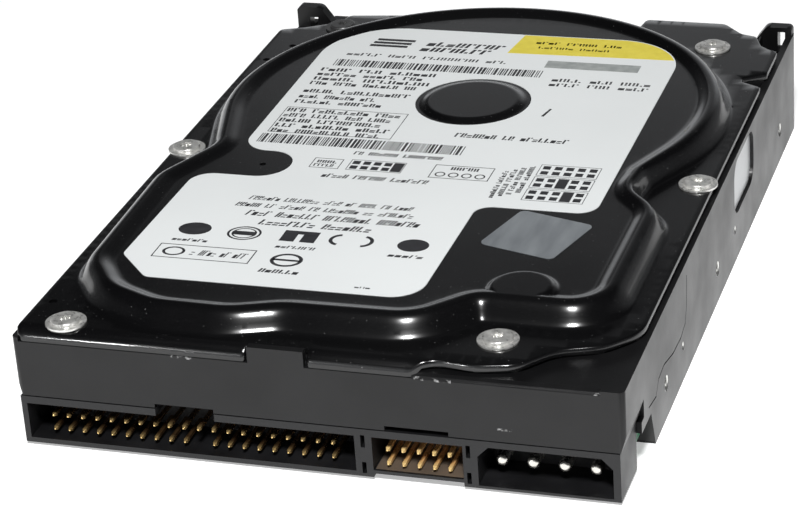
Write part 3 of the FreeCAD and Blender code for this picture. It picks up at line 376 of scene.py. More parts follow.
def cast_paint():
    """Black paint on the casting, worn to bare metal in a few places on the front."""
    material, nodes, links, shader, place = start_material("cast_black")
    slow = noise(nodes, links, place, 90.0, 4.0)
    colour = blend_colour(nodes, links, spread(nodes, links, slow, 0.0, 1.0), (0.004, 0.004, 0.0043),
                          (0.008, 0.008, 0.0085))
    chips = spread(nodes, links, noise(nodes, links, place, 1500.0, 2.0), 0.0, 1.0, (0.5, 0.68))
    for low, high in WORN_BLOCKS:
        worn = product(nodes, links, block_mask(nodes, links, place, low, high), chips)
        colour = tint(nodes, links, worn, colour, (0.3, 0.3, 0.3))
    links.new(colour, shader.inputs["Base Color"])
    links.new(spread(nodes, links, slow, 0.30, 0.42), shader.inputs["Roughness"])
    bump(nodes, links, shader, noise(nodes, links, place, 1300.0, 2.0), 0.03, 0.3)
    shader.inputs["Specular IOR Level"].default_value = 0.34
    return material


def housing_plastic():
    """Dark moulded plastic, tinted brown inside the jumper bay, where the brown is also brightened as painted
    light against the bay's shade.
    """
    material, nodes, links, shader, place = start_material("housing_plastic")
    slow = noise(nodes, links, place, 150.0, 4.0)
    # Painted light: the bay's brown tint is lighter than the shade in the recess would leave it
    bay = block_mask(nodes, links, place, *JUMPER_BAY)
    dark = blend_colour(nodes, links, bay, (0.0045, 0.0045, 0.005), (0.12, 0.09, 0.065))
    colour = tint(nodes, links, spread(nodes, links, slow, 0.0, 0.5), dark, (0.012, 0.012, 0.0135))
    links.new(colour, shader.inputs["Base Color"])
    links.new(spread(nodes, links, slow, 0.36, 0.5), shader.inputs["Roughness"])
    bump(nodes, links, shader, noise(nodes, links, place, 1800.0, 2.0), 0.015, 0.3)
    shader.inputs["Specular IOR Level"].default_value = 0.42
    return material


def screw_steel():
    """Bright screws and washers, the rear left one darkened as painted shade."""
    material, nodes, links, shader, place = start_material("screw_steel")
    slow = noise(nodes, links, place, 900.0, 4.0)
    fine = noise(nodes, links, place, 1500.0, 2.0)
    bright = blend_colour(nodes, links, spread(nodes, links, slow, 0.0, 1.0), (0.50, 0.50, 0.48),
                          (0.92, 0.91, 0.88))
    # Painted shade: the rear left screw's colour is darkened to dark grey
    painted_shade_mask = block_mask(nodes, links, place, *SHADED_SCREW_BLOCK)
    links.new(tint(nodes, links, painted_shade_mask, bright, (0.10, 0.10, 0.10)), shader.inputs["Base Color"])
    links.new(spread(nodes, links, slow, 0.24, 0.4), shader.inputs["Roughness"])
    bump(nodes, links, shader, fine, 0.03, 0.6)
    shader.inputs["Metallic"].default_value = 0.7
    return material


def gold_pins(name, shank, metallic):
    """Gold plating with one colour at the tips and another along the shanks, which for the IDE pins is
    painted shade.
    """
    material, nodes, links, shader, place = start_material(name)
    slow = noise(nodes, links, place, 600.0)
    split = nodes.new("ShaderNodeSeparateXYZ")
    links.new(place, split.inputs["Vector"])
    shade = spread(nodes, links, split.outputs["Y"], 0.0, 1.0, (PIN_TIP_END * MM, PIN_SHANK_START * MM))
    colour = blend_colour(nodes, links, shade, (0.88, 0.62, 0.26), shank)
    links.new(colour, shader.inputs["Base Color"])
    links.new(spread(nodes, links, slow, 0.22, 0.36), shader.inputs["Roughness"])
    bump(nodes, links, shader, noise(nodes, links, place, 1500.0, 2.0), 0.01, 0.3)
    shader.inputs["Metallic"].default_value = metallic
    return material


def board_material():
    """Green solder mask over copper tracks."""
    material, nodes, links, shader, place = start_material("solder_mask")
    tracks = nodes.new("ShaderNodeTexBrick")
    tracks.inputs["Scale"].default_value = 130.0
    tracks.inputs["Mortar Size"].default_value = 0.09
    tracks.inputs["Color1"].default_value = (0.004, 0.075, 0.03, 1.0)
    tracks.inputs["Color2"].default_value = (0.006, 0.10, 0.04, 1.0)
    tracks.inputs["Mortar"].default_value = (0.012, 0.17, 0.07, 1.0)
    links.new(place, tracks.inputs["Vector"])
    links.new(tracks.outputs["Color"], shader.inputs["Base Color"])
    slow = noise(nodes, links, place, 300.0)
    links.new(spread(nodes, links, slow, 0.25, 0.38), shader.inputs["Roughness"])
    bump(nodes, links, shader, tracks.outputs["Fac"], 0.03, 0.5)
    return material


def node_materials():
    """Every material, with the names of the CAD nodes that it goes on."""
    cast = cast_paint()
    moulded = housing_plastic()
    chips = grained("chip_epoxy", (0.012, 0.012, 0.013), (0.02, 0.02, 0.021), (0.5, 0.62), grain=4000.0,
                    relief=0.01, patches=400.0, strength=0.5)
    # The IDE pins' near-black shank colour is painted shade inside the connector shroud
    gold = gold_pins("gold_plate", (0.16, 0.09, 0.04), 0.85)
    worn_gold = gold_pins("worn_gold_plate", (0.72, 0.40, 0.15), 0.4)
    tin = steel("tin_plate", (0.62, 0.60, 0.55), (0.85, 0.83, 0.78), (0.2, 0.34))
    screws = screw_steel()
    shaft = steel("shaft_steel", (0.6, 0.6, 0.62), (0.74, 0.74, 0.76), (0.16, 0.26))
    nickel = steel("nickel_plate", (0.58, 0.57, 0.55), (0.7, 0.69, 0.66), (0.14, 0.26))
    machined = grained("machined_aluminium", (0.62, 0.62, 0.64), (0.76, 0.76, 0.78), (0.2, 0.34),
                       metallic=1.0, grain=1200.0, relief=0.01, patches=200.0, strength=0.3)
    mirror = grained("platter_mirror", (0.72, 0.72, 0.73), (0.75, 0.75, 0.76), (0.03, 0.05), metallic=1.0,
                     grain=300.0, relief=0.001, patches=20.0, strength=0.1)
    copper = grained("copper_wire", (0.42, 0.16, 0.06), (0.62, 0.26, 0.10), (0.25, 0.4), metallic=1.0,
                     grain=3000.0, relief=0.05, patches=300.0, stretch=(1.0, 1.0, 4.0))
    amber = grained("flex_amber", (0.30, 0.12, 0.015), (0.42, 0.18, 0.03), (0.2, 0.32), grain=900.0,
                    relief=0.01, patches=250.0, stretch=(1.0, 1.0, 6.0))
    rubber = grained("stop_rubber", (0.015, 0.015, 0.015), (0.025, 0.025, 0.025), (0.6, 0.75), grain=2500.0)
    foam = grained("gasket_foam", (0.012, 0.012, 0.012), (0.03, 0.03, 0.03), (0.75, 0.9), grain=1600.0,
                   relief=0.08, patches=800.0)
    felt = grained("filter_felt", (0.62, 0.62, 0.58), (0.8, 0.8, 0.76), (0.85, 0.95), grain=1800.0,
                   relief=0.1, patches=500.0, stretch=(1.0, 1.0, 0.2))
    ceramic = grained("passive_ceramic", (0.22, 0.15, 0.08), (0.38, 0.27, 0.16), (0.4, 0.55), grain=2500.0,
                      patches=350.0)
    iron = grained("laminated_iron", (0.10, 0.10, 0.11), (0.2, 0.2, 0.21), (0.35, 0.5), metallic=1.0,
                   grain=900.0, relief=0.03, stretch=(1.0, 1.0, 6.0))
    pale = grained("latch_plastic", (0.55, 0.52, 0.45), (0.66, 0.63, 0.55), (0.4, 0.5), grain=1500.0)
    sheet = paper()
    seal = grained("seal_foil", (0.18, 0.195, 0.21), (0.26, 0.28, 0.295), (0.36, 0.5), metallic=0.25,
                   grain=500.0, relief=0.012, patches=420.0, stretch=(1.0, 0.2, 1.0), strength=0.5)
    port = grained("port_foil", (0.52, 0.53, 0.54), (0.62, 0.63, 0.64), (0.3, 0.42), metallic=0.4,
                   grain=500.0, relief=0.012, patches=120.0, strength=0.5)
    board = board_material()
    return {
        cast: ["base_casting"],
        moulded: ["connector_housing", "head_connector", "flex_bracket", "coil_overmould"],
        chips: ["controller_chip", "motor_driver_chip", "memory_chip", "flash_rom", "preamp_chip", "sliders"],
        gold: ["ide_pins", "motor_contacts", "latch_weight"],
        worn_gold: ["jumper_pins"],
        tin: ["power_pins", "crystal"],
        screws: ["cover_screws", "pivot_screw", "pcb_screws", "plate_screws", "clamp_screws", "suspensions"],
        shaft: ["spindle_shaft", "bearing_inner_races", "spindle_outer_races", "spindle_balls", "pivot_shaft",
                "pivot_outer_races", "pivot_balls", "latch_pin"],
        nickel: ["vcm_lower_plate", "vcm_upper_plate", "lower_magnet", "upper_magnet", "plate_standoffs",
                 "rotor_magnet"],
        machined: ["motor_hub", "platter_spacer", "platter_clamp", "actuator_block"],
        mirror: ["lower_platter", "upper_platter"],
        copper: ["stator_coils", "voice_coil"],
        amber: ["flex_ribbon", "actuator_flex"],
        rubber: ["crash_stops"],
        foam: ["cover_gasket", "pcb_insulator"],
        felt: ["breather_filter", "recirculation_filter"],
        ceramic: ["smd_passives"],
        iron: ["stator_core"],
        pale: ["latch_arm"],
        sheet: ["label"],
        seal: ["seal_sticker"],
        port: ["side_port_foil"],
        board: ["pcb"],
    }


def dress_nodes():
    """Give every CAD node its material, and soften the edges of some that show from outside."""
    for material, names in node_materials().items():
        for name in names:
            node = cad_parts[name]
            node.data.materials.clear()
            node.data.materials.append(material)
    widths = {"base_casting": 0.18, "connector_housing": 0.12, "cover_screws": 0.08, "power_pins": 0.1,
              "ide_pins": 0.05, "jumper_pins": 0.05, "pcb": 0.05}
    for name, width in widths.items():
        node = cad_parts[name]
        weld = node.modifiers.new("weld", "WELD")
        weld.merge_threshold = 0.002 * MM
        bevel = node.modifiers.new("soft_edges", "BEVEL")
        bevel.width = width * MM
        bevel.segments = 2
        bevel.limit_method = "ANGLE"
        bevel.angle_limit = math.radians(40)
        bevel.harden_normals = True


# ---------------------------------------------------------------- outlines

def polar(centre, radius, angle):
    """Point at a radius and an angle in degrees."""
    turn = math.radians(angle)
    return (centre[0] + radius * math.cos(turn), centre[1] + radius * math.sin(turn))


def arc_corners(centre, radius, start, stop, count):
    """Corners whose rounding is one arc from start to stop, in degrees."""
    step = (stop - start) / count
    reach = radius / math.cos(math.radians(step / 2))
    return [(*polar(centre, reach, start + step * (index + 0.5)), radius) for index in range(count)]


def tangent_corner(centre, radius, angle, distance, rounding):
    """Corner on the tangent at the end of an arc, ahead of it or, if distance is negative, behind it."""
    x, y = polar(centre, radius, angle)
    turn = math.radians(angle)
    return (x - distance * math.sin(turn), y + distance * math.cos(turn), rounding)


def trace(corners, step):
    """Evenly spaced points along an outline of (x, y, radius) corners with rounded corners."""
    points = []
    count = len(corners)
    for index in range(count):
        corner = Vector(corners[index][:2])
        radius = corners[index][2]
        to_last = (Vector(corners[index - 1][:2]) - corner).normalized()
        to_next = (Vector(corners[(index + 1) % count][:2]) - corner).normalized()
        half_angle = to_last.angle(to_next) / 2
        reach = radius / math.tan(half_angle)
        middle = corner + (to_last + to_next).normalized() * (radius / math.sin(half_angle))
        first = corner + to_last * reach - middle
        turn = (math.pi - 2 * half_angle) * (1 if to_last.cross(to_next) < 0 else -1)
        pieces = max(1, math.ceil(abs(turn) * radius / step))
        for part in range(pieces + 1):
            angle = turn * part / pieces
            cosine, sine = math.cos(angle), math.sin(angle)
            points.append(middle + Vector((first.x * cosine - first.y * sine,
                                           first.x * sine + first.y * cosine)))
    filled = []
    for index, point in enumerate(points):
        following = points[(index + 1) % len(points)]
        gap = (following - point).length
        if gap < 1e-4:
            continue
        pieces = max(1, math.ceil(gap / step - 0.2))
        filled += [point.lerp(following, part / pieces) for part in range(pieces)]
    return filled


def bead_line(step):
    """Crest of the cover's raised bead."""
    corners = arc_corners(SPINDLE, BEAD_RADIUS, -22.0, 195.0, 4)
    corners.append(tangent_corner(SPINDLE, BEAD_RADIUS, 195.0, 15.5, 9.0))
    corners += [(-44.4, -20.0, 8.0), (-43.5, -53.5, 10.0), (-37.5, -62.1, 12.0), (-28.5, -66.2, 12.0),
                (-15.4, -66.5, 12.0), (-7.0, -63.5, 12.0), (14.5, -63.2, 9.0), (22.5, -54.4, 5.0),
                (42.9, -54.6, 6.5), (42.9, -19.6, 9.0), (36.8, -12.5, 8.0)]
    corners.append(tangent_corner(SPINDLE, BEAD_RADIUS, -22.0, -9.0, 8.0))
    return trace(corners, step)


def cover_outline(step):
    """Edge of the cover's flange, with the gap for the front tab and the notch at the right."""
    corners = [(50.0, 58.9, 1.2), (50.0, 47.8, 0.3), (45.9, 45.1, 0.35), (46.3, 43.5, 0.35),
               (50.0, 41.4, 0.3), (50.0, -56.5, 8.0), (45.0, -62.3, 8.0), (38.0, -64.8, 8.0),
               (33.5, -70.6, 6.0),
               (27.0, -72.0, 10.0), (20.5, -71.2, 4.0), (17.0, -73.4, 3.0), (-0.2, -73.4, 0.4),
               (-0.2, -71.8, 0.4), (-10.5, -71.8, 0.4), (-10.5, -73.4, 0.4),
               (-50.0, -73.4, 1.2), (-50.0, 56.2, 1.2), (-45.4, 57.9, 1.2), (-39.4, 61.4, 1.5),
               (-38.2, 65.4, 1.2), (-24.6, 67.4, 1.0)]
    corners.append(tangent_corner(SPINDLE, REAR_EDGE_RADIUS, 117.5, 1.0, 0.5))
    corners += arc_corners(SPINDLE, REAR_EDGE_RADIUS, 117.5, 66.5, 2)
    corners.append(tangent_corner(SPINDLE, REAR_EDGE_RADIUS, 66.5, -1.0, 0.5))
    corners += [(21.6, 71.5, 1.0), (37.5, 71.4, 2.0), (41.6, 66.8, 1.5), (44.7, 65.8, 1.2),
                (46.4, 61.4, 1.2), (48.4, 59.6, 1.2)]
    return trace(corners[::-1], step)


def label_outline(step):
    """Edge of the paper label."""
    corners = [(34.0, 53.5, 13.0), (-35.3, 53.3, 14.5), (-35.3, -6.2, 5.0),
               (-23.8, -6.2, 5.4), (-23.8, -17.2, 5.4), (-39.6, -17.2, 4.0), (-40.2, -50.0, 2.0),
               (-33.5, -57.3, 2.0), (13.4, -57.3, 5.4), (13.6, -22.3, 3.0), (34.0, -22.3, 3.6)]
    return trace(corners, step)


def circle(centre, radius, count):
    """Points round a circle."""
    return [Vector(polar(centre, radius, 360.0 * index / count)) for index in range(count)]


def shifted(points, offset):
    """A closed line moved outward by an offset, for points that run anticlockwise."""
    moved = []
    for index, point in enumerate(points):
        along = points[(index + 1) % len(points)] - points[index - 1]
        moved.append(point + Vector((along.y, -along.x)).normalized() * offset)
    return moved


def gap_to(points, line):
    """Distance of each point from a closed line."""
    places = np.array([tuple(point) for point in points])
    starts = np.array([tuple(point) for point in line])
    spans = np.roll(starts, -1, axis=0) - starts
    lengths = (spans ** 2).sum(1)
    nearest = np.full(len(places), 1e9)
    for start, span, length in zip(starts, spans, lengths):
        along = np.clip(((places - start) @ span) / length, 0.0, 1.0)
        nearest = np.minimum(nearest, np.hypot(*(places - start - along[:, None] * span).T))
    return nearest


def inside(points, line):
    """Whether each point lies inside a closed line."""
    places = np.array([tuple(point) for point in points])
    x, y = places.T
    held = np.zeros(len(places), bool)
    for index, point in enumerate(line):
        following = line[(index + 1) % len(line)]
        if point.y == following.y:
            continue
        crosses = (point.y > y) != (following.y > y)
        reach = point.x + (y - point.y) * (following.x - point.x) / (following.y - point.y)
        held ^= crosses & (x < reach)
    return held


# ---------------------------------------------------------------- cover

def rounded_step(value):
    """Smooth fall from 1 to 0 as value goes from 0 to 1."""
    return 0.5 * (1.0 + np.cos(np.pi * np.clip(value, 0.0, 1.0)))


def cover_height(points, bead, edge):
    """Top surface of the cover above each point."""
    places = np.array([tuple(point) for point in points])
    x, y = places.T
    away = gap_to(points, bead)
    inner = inside(points, bead)
    narrowing = NARROWING * np.exp(-((x - NARROWEST[0]) ** 2 + (y - NARROWEST[1]) ** 2) / NARROWING_SPREAD)
    outer_side = rounded_step((away / (OUTER_SLOPE - narrowing)) ** OUTER_CURVE)
    height = np.where(inner, PLATEAU_TOP + INNER_RISE * rounded_step(away / INNER_SLOPE),
                      FLANGE_TOP + OUTER_RISE * outer_side)
    from_dome = np.hypot(x - FRONT_DOME[0], y - FRONT_DOME[1])
    dome = PLATEAU_TOP + INNER_RISE * rounded_step((from_dome - FRONT_DOME_RADIUS) / FRONT_DOME_SLOPE)
    height = np.where(inner, np.maximum(height, dome), height)
    from_hub = np.hypot(x - HUB_DOME[0], y - HUB_DOME[1])
    hub = PLATEAU_TOP + HUB_DOME_RISE * rounded_step((from_hub - HUB_DOME_RADIUS) / HUB_DOME_SLOPE)
    height = np.where(from_hub < HUB_DOME_REACH, hub, height)
    border = gap_to(points, edge)
    height -= EDGE_DROP * np.clip(1.0 - border / EDGE_ROLL, 0.0, 1.0) ** 2
    lip = np.clip((LIP_START - y) / LIP_REACH, 0.0, 1.0) * (x < LIP_RIGHT)
    return height - LIP_DROP * (1.0 - np.sqrt(1.0 - LIP_CURVE * lip ** 2))


def cover_triangles(bead, edge):
    """Points and triangles of the cover seen from above, along its bead, domes, holes and edge."""
    holes = [circle(place, SCREW_HOLE_RADIUS, 20) for place in COVER_SCREWS]
    holes += [circle(place, radius, 14) for place, radius in SMALL_HOLES]
    lines = [shifted(bead, offset) for offset in BEAD_OFFSETS]
    lines += [circle(FRONT_DOME, radius, 60) for radius in FRONT_DOME_RINGS]
    lines += [circle(HUB_DOME, radius, 72) for radius in HUB_DOME_RINGS]
    lines += [edge, shifted(edge, -0.15), shifted(edge, -EDGE_ROLL)] + holes
    points = []
    links = []
    for line in lines:
        first = len(points)
        points += line
        links += [(first + index, first + (index + 1) % len(line)) for index in range(len(line))]
    for y in LIP_ROWS:
        for left, right in LIP_SPANS:
            links.append((len(points), len(points) + 1))
            points += [Vector((left, y)), Vector((right, y))]
    points += [Vector((GRID_START[0] + GRID_PITCH * column, GRID_START[1] + GRID_PITCH * row))
               for column in range(GRID_COLUMNS) for row in range(GRID_ROWS)]
    places, _, triangles, _, _, _ = delaunay_2d_cdt(points, links, [], 0, 1e-4)
    middles = [(places[a] + places[b] + places[c]) / 3 for a, b, c in triangles]
    keep = inside(middles, edge)
    for hole in holes:
        keep &= ~inside(middles, hole)
    return places, [corners for corners, kept in zip(triangles, keep) if kept]


def sheet_bottom(place, height):
    """Underside of the cover at a place: a sheet's thickness lower, and no lower than the lip."""
    if place.y < DEEP_LIP_START and place.x < DEEP_LIP_RIGHT:
        return LIP_BOTTOM
    return max(height - SHEET, LIP_BOTTOM)


def build_cover():
    """Pressed cover as one closed sheet."""
    bead = bead_line(step=1.1)
    edge = cover_outline(step=1.0)
    places, triangles = cover_triangles(bead, edge)
    heights = cover_height(places, bead, edge)
    mesh = bmesh.new()
    tops = [mesh.verts.new((place.x * MM, place.y * MM, height * MM))
            for place, height in zip(places, heights)]
    lows = [mesh.verts.new((place.x * MM, place.y * MM, sheet_bottom(place, height) * MM))
            for place, height in zip(places, heights)]
    borders = {}
    for a, b, c in triangles:
        if (places[b] - places[a]).cross(places[c] - places[a]) < 0:
            b, c = c, b
        mesh.faces.new((tops[a], tops[b], tops[c]))
        mesh.faces.new((lows[a], lows[c], lows[b]))
        for side in ((a, b), (b, c), (c, a)):
            if side[::-1] in borders:
                del borders[side[::-1]]
            else:
                borders[side] = True
    for a, b in borders:
        mesh.faces.new((tops[a], lows[a], lows[b], tops[b]))
    bmesh.ops.delete(mesh, geom=[vert for vert in mesh.verts if not vert.link_faces], context="VERTS")
    finish_mesh("cover_shell", mesh, [cover_paint()], "base", ["top_cover"], 50)


def finish_mesh(name, mesh, materials, body, replaced=(), sharp=35):
    """Turn a bmesh into a piece that rides on a body. Edges over the sharp angle, in degrees, stay hard."""
    bmesh.ops.recalc_face_normals(mesh, faces=mesh.faces)
    data = bpy.data.meshes.new(name)
    mesh.to_mesh(data)
    mesh.free()
    data.shade_smooth()
    data.set_sharp_from_angle(angle=math.radians(sharp))
    for material in materials:
        data.materials.append(material)
    piece = bpy.data.objects.new(name, data)
    bpy.context.scene.collection.objects.link(piece)
    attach(piece, body)
    if replaced:
        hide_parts(*replaced)


# ---------------------------------------------------------------- label print

# Inks, the slabs' thickness, the gaps under the first layer and between layers, and a pin diagram's columns
BLACK, YELLOW, GREY = 0, 1, 2
PRINT_THICKNESS = 0.012
PRINT_GAP = 0.002
LAYER_GAP = 0.004
PIN_COLUMNS = 5


class Print:
    """Flat printed shapes on the label, each a thin closed slab."""

    def __init__(self):
        self.mesh = bmesh.new()

    def shape(self, points, ink_index=BLACK, layer=0):
        """Slab over an outline that runs anticlockwise."""
        bottom = LABEL_TOP + PRINT_GAP + layer * (PRINT_THICKNESS + LAYER_GAP)
        lows = [self.mesh.verts.new((x * MM, y * MM, bottom * MM)) for x, y in points]
        highs = [self.mesh.verts.new((x * MM, y * MM, (bottom + PRINT_THICKNESS) * MM)) for x, y in points]
        faces = [self.mesh.faces.new(highs), self.mesh.faces.new(lows[::-1])]
        for index in range(len(points)):
            following = (index + 1) % len(points)
            faces.append(self.mesh.faces.new((lows[index], lows[following], highs[following], highs[index])))
        for face in faces:
            face.material_index = ink_index

    def bar(self, left, front, right, back, ink_index=BLACK, layer=0):
        """Filled rectangle."""
        self.shape([(left, front), (right, front), (right, back), (left, back)], ink_index, layer)

    def frame(self, left, front, right, back, line=0.18):
        """Outline of a rectangle."""
        self.bar(left, front, right, front + line)
        self.bar(left, back - line, right, back)
        self.bar(left, front + line, left + line, back - line)
        self.bar(right - line, front + line, right, back - line)

    def arc(self, centre, outer, inner, start=0.0, stop=360.0, squash=1.0):
        """Ring, or the part of it between two angles in degrees."""
        count = max(4, int(abs(stop - start) / 12))
        for index in range(count):
            first = start + (stop - start) * index / count
            last = start + (stop - start) * (index + 1) / count
            places = [polar((0, 0), outer, first), polar((0, 0), outer, last), polar((0, 0), inner, last),
                      polar((0, 0), inner, first)]
            self.shape([(centre[0] + x, centre[1] + y * squash) for x, y in places])

    def disc(self, centre, radius, squash=1.0):
        """Filled circle, squashed from front to back."""
        points = circle((0, 0), radius, 28)
        self.shape([(centre[0] + point.x, centre[1] + point.y * squash) for point in points])

    def glyph(self, place, left, width, height, slant, weight):
        """One stand-in for a character: bars, dashes and dots that form no letter."""
        stroke = min(height * weight, width * 0.4)
        top, middle = height - stroke, (height - stroke) / 2
        marks = {
            "pair": ((0, 0, stroke, height), (width - stroke, 0, width, height)),
            "block": ((0, 0, width, height * 0.7),),
            "bar_low_dot": ((0, 0, stroke, height), (width - stroke, 0, width, stroke)),
            "bar_high_dot": ((0, 0, stroke, height), (width - stroke, top, width, height)),
            "dashes": ((0, 0, width, stroke), (0, middle, width, middle + stroke)),
            "three": ((0, 0, stroke, height), (width - stroke, middle, width, height),
                      (width - stroke, 0, width, stroke)),
        }
        for x0, y0, x1, y1 in marks[random.choice(sorted(marks))]:
            self.shape([place(left + x + y * slant, y) for x, y in ((x0, y0), (x1, y0), (x1, y1), (x0, y1))])

    def text(self, left, front, width, height, words, slant=0.0, weight=0.28, upright=False):
        """A line of stand-in characters in words, as long as width, that runs across or up the label."""
        letters = sum(words) + len(words) - 1
        pitch = width / letters

        def place(x, y):
            return (left - y, front + x) if upright else (left + x, front + y)

        x = 0.0
        for word in words:
            for _ in range(word):
                self.glyph(place, x, pitch * 0.8, height, slant, weight)
                x += pitch
            x += pitch

    def barcode(self, left, front, right, back):
        """Row of bars of random widths, which hold no code."""
        x = left
        while x < right - 0.6:
            width = random.choice((0.18, 0.18, 0.32, 0.5))
            self.bar(x, front, x + width, back)
            x += width + random.choice((0.2, 0.2, 0.36))

    def pin_grid(self, left, front, filled, pitch=1.95):
        """Two rows of squares in a frame, with the pair in one column joined, or none."""
        size, margin = 1.35, 0.2
        width = PIN_COLUMNS * pitch + 2 * margin
        self.frame(left, front, left + width, front + 2 * pitch + 2 * margin, 0.12)
        for column in range(PIN_COLUMNS):
            for row in range(2):
                x = left + margin + pitch * (column + 0.5) - size / 2
                y = front + margin + pitch * (row + 0.5) - size / 2
                self.bar(x, y, x + size, y + size)
        if filled is not None:
            x = left + margin + pitch * (filled + 0.5) - size * 0.7
            self.bar(x, front + 0.35, x + size * 1.4, front + 2 * pitch + 0.05, layer=1)


def print_headings(sheet):
    """Heading block, barcodes and small lines on the rear half of the label."""
    for row in range(3):
        sheet.bar(-26.2 - 0.35 * row, 46.6 - 1.5 * row, -18.6 - 0.35 * row, 47.6 - 1.5 * row)
    for row, words in enumerate(((8,), (7,))):
        sheet.text(-16.0 - 0.6 * row, 45.2 - 2.7 * row, 15.5 - 1.5 * row, 2.1, words, 0.25, 0.4)
    sheet.text(-30.0, 38.6, 32.0, 1.3, (5, 4, 8, 3), 0.1)
    sheet.barcode(-31.0, 33.2, 10.5, 36.4)
    for row, words in enumerate(((4, 3, 6), (6, 5, 3), (5, 8), (3, 4, 6, 2))):
        sheet.text(-32.5, 30.4 - 2.2 * row, 23.0 - 2.0 * (row % 2), 1.5, words, 0.0, 0.3)
    sheet.text(-32.5, 20.0, 21.0, 1.6, (5, 11), 0.0, 0.32)
    sheet.text(-32.5, 17.4, 15.0, 1.6, (4, 6, 3), 0.0, 0.34)
    sheet.text(-32.5, 15.0, 17.0, 1.5, (6, 7), 0.0, 0.34)
    sheet.frame(-33.0, 1.6, -9.5, 13.0, 0.14)
    for row, words in enumerate(((3, 9, 4), (4, 5, 3, 4), (5, 10), (3, 7, 5), (3, 9, 4))):
        sheet.text(-32.5, 10.9 - 2.3 * row, 22.0 - 1.2 * (row % 3), 1.6, words, 0.0, 0.32)
    sheet.barcode(-33.5, -3.0, 5.4, 0.8)


def print_right(sheet):
    """Yellow band, grey bar and the settings diagrams at the right."""
    edge = shifted(label_outline(step=1.2), -0.25)
    band = [tuple(point) for point in edge if point.x > 0.7 and point.y > 44.0]
    sheet.shape(band + [(0.7, 44.0)], YELLOW)
    sheet.text(5.0, 49.2, 17.0, 1.2, (4, 5, 3))
    sheet.text(6.0, 47.0, 14.0, 1.0, (6, 5))
    sheet.bar(9.5, 38.0, 27.5, 41.4, GREY)
    for row in range(2):
        sheet.text(12.5, 31.8 - 2.2 * row, 19.0, 1.4, (4, 3, 4))
    sheet.shape([(14.7, 15.8), (15.2, 15.7), (15.9, 19.2), (15.5, 19.3)])
    sheet.text(1.5, 4.6, 21.0, 1.7, (7, 2, 8), 0.1)
    for row, filled in enumerate((None, 2, 3)):
        sheet.pin_grid(20.2, -9.0 - 5.0 * row, filled, 2.08)
    for column, words in enumerate(((8, 8), (6, 6), (1, 5, 7), (5, 7))):
        sheet.text(15.2 + 1.4 * column, -19.0 + 0.9 * column, 11.0, 0.95, words, 0.0, 0.3, upright=True)


def print_middle(sheet):
    """Small diagrams in the middle."""
    sheet.text(-14.2, -5.6, 16.5, 1.3, (2, 6, 8), 0.1, 0.34)
    sheet.pin_grid(-13.6, -12.0, 4)
    sheet.frame(-20.4, -12.0, -15.0, -8.0, 0.14)
    sheet.text(-19.6, -9.9, 3.8, 1.1, (4,))
    sheet.text(-19.8, -11.4, 3.8, 1.1, (5,))
    sheet.text(-17.0, -15.6, 19.5, 1.5, (5, 6, 7), 0.2, 0.32)
    sheet.text(4.9, -9.2, 5.2, 1.2, (5,), 0.0, 0.34)
    sheet.frame(1.8, -12.8, 12.6, -7.4, 0.16)
    for index in range(4):
        sheet.arc((3.6 + 2.4 * index, -11.2), 0.95, 0.68)


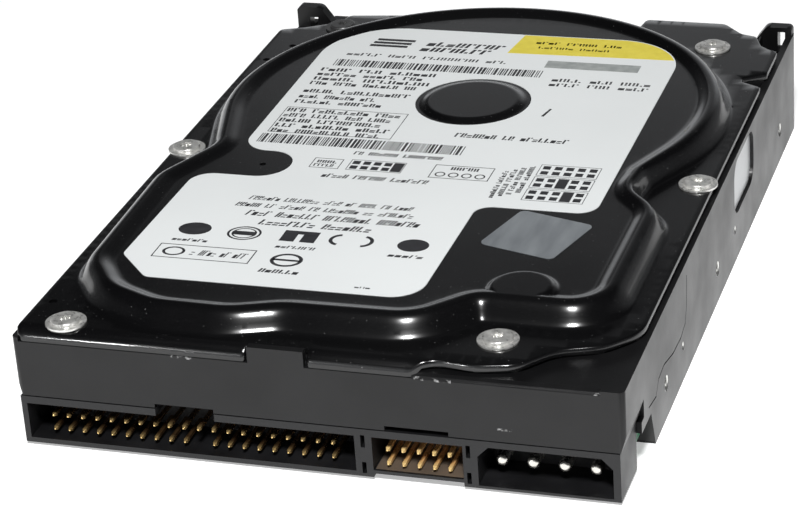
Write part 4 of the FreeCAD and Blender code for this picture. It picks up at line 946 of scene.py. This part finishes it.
def print_front(sheet):
    """Lines of text and a row of plain symbols on the front half."""
    sheet.text(-26.5, -26.4, 29.5, 1.5, (7, 8, 4, 2, 4, 2, 4), 0.25, 0.26)
    sheet.text(-28.0, -29.2, 32.0, 1.5, (5, 2, 5, 2, 7, 2, 7), 0.25, 0.26)
    sheet.text(-25.0, -32.4, 31.0, 1.9, (4, 7, 8, 7), 0.25, 0.34)
    sheet.text(-21.5, -35.6, 20.0, 1.9, (8, 7), 0.25, 0.34)
    sheet.disc((-31.5, -39.0), 2.9, 0.8)
    sheet.arc((-22.5, -39.3), 3.0, 2.6, squash=0.85)
    sheet.arc((-22.5, -39.3), 2.2, 1.9, squash=0.85)
    sheet.bar(-24.4, -40.0, -20.6, -38.6)
    for left in (-15.8, -12.2):
        sheet.bar(left, -41.0, left + 2.6, -37.2)
    sheet.bar(-15.8, -38.2, -9.6, -37.0, layer=1)
    for centre, start in ((-5.4, 100.0), (-1.8, -80.0)):
        sheet.arc((centre, -39.0), 2.1, 1.45, start, start + 160.0)
    sheet.disc((7.2, -39.0), 2.7, 0.85)
    sheet.text(-34.0, -43.8, 6.4, 1.0, (7,), 0.2)
    sheet.text(-15.6, -43.6, 7.0, 1.0, (7,), 0.2)
    sheet.text(4.0, -43.6, 6.2, 1.1, (5,), 0.3)
    sheet.frame(-35.2, -50.2, -18.0, -45.2, 0.2)
    sheet.arc((-32.0, -47.7), 2.0, 1.5, squash=0.8)
    sheet.text(-29.0, -48.6, 9.8, 1.9, (1, 4, 2, 3), 0.2)
    sheet.arc((-12.0, -47.8), 2.8, 2.15, squash=0.85)
    sheet.bar(-14.4, -48.1, -9.6, -47.5)
    sheet.text(-15.4, -52.6, 7.0, 1.3, (6,), 0.2)
    sheet.text(2.2, -55.4, 2.8, 0.6, (3,))


def build_thread_rings():
    """Bare metal mouths of the threaded holes in the side walls."""
    mesh = bmesh.new()
    count = 28
    for side in (-1, 1):
        for along, radius, depth in SIDE_HOLES:
            wide, narrow = radius - 0.02, radius - 0.25
            loops = []
            for reach, inset in ((wide, 0.05), (wide, depth), (narrow, depth), (narrow, 0.25)):
                loops.append([mesh.verts.new((side * (SIDE_WALL - inset) * MM, (along + point.x) * MM,
                                              (SIDE_HOLE_LEVEL + point.y) * MM))
                              for point in circle((0, 0), reach, count)])
            for index in range(4):
                outer, inner = loops[index], loops[(index + 1) % 4]
                for turn in range(count):
                    following = (turn + 1) % count
                    mesh.faces.new((outer[turn], outer[following], inner[following], inner[turn]))
    bare = steel("bare_thread", (0.62, 0.62, 0.60), (0.85, 0.85, 0.82), (0.25, 0.4))
    finish_mesh("thread_rings", mesh, [bare], "base")


def build_print():
    """Everything printed on the label, as one piece."""
    sheet = Print()
    print_headings(sheet)
    print_right(sheet)
    print_middle(sheet)
    print_front(sheet)
    inks = [ink("black_ink", (0.012, 0.012, 0.014), (0.03, 0.03, 0.034)),
            ink("yellow_ink", (0.72, 0.60, 0.05), (0.80, 0.68, 0.09)),
            ink("grey_ink", (0.25, 0.27, 0.265), (0.38, 0.40, 0.39))]
    finish_mesh("label_print", sheet.mesh, inks, "base")


# ---------------------------------------------------------------- build

place_camera()
build_studio()
dress_nodes()
build_cover()
build_thread_rings()
build_print()
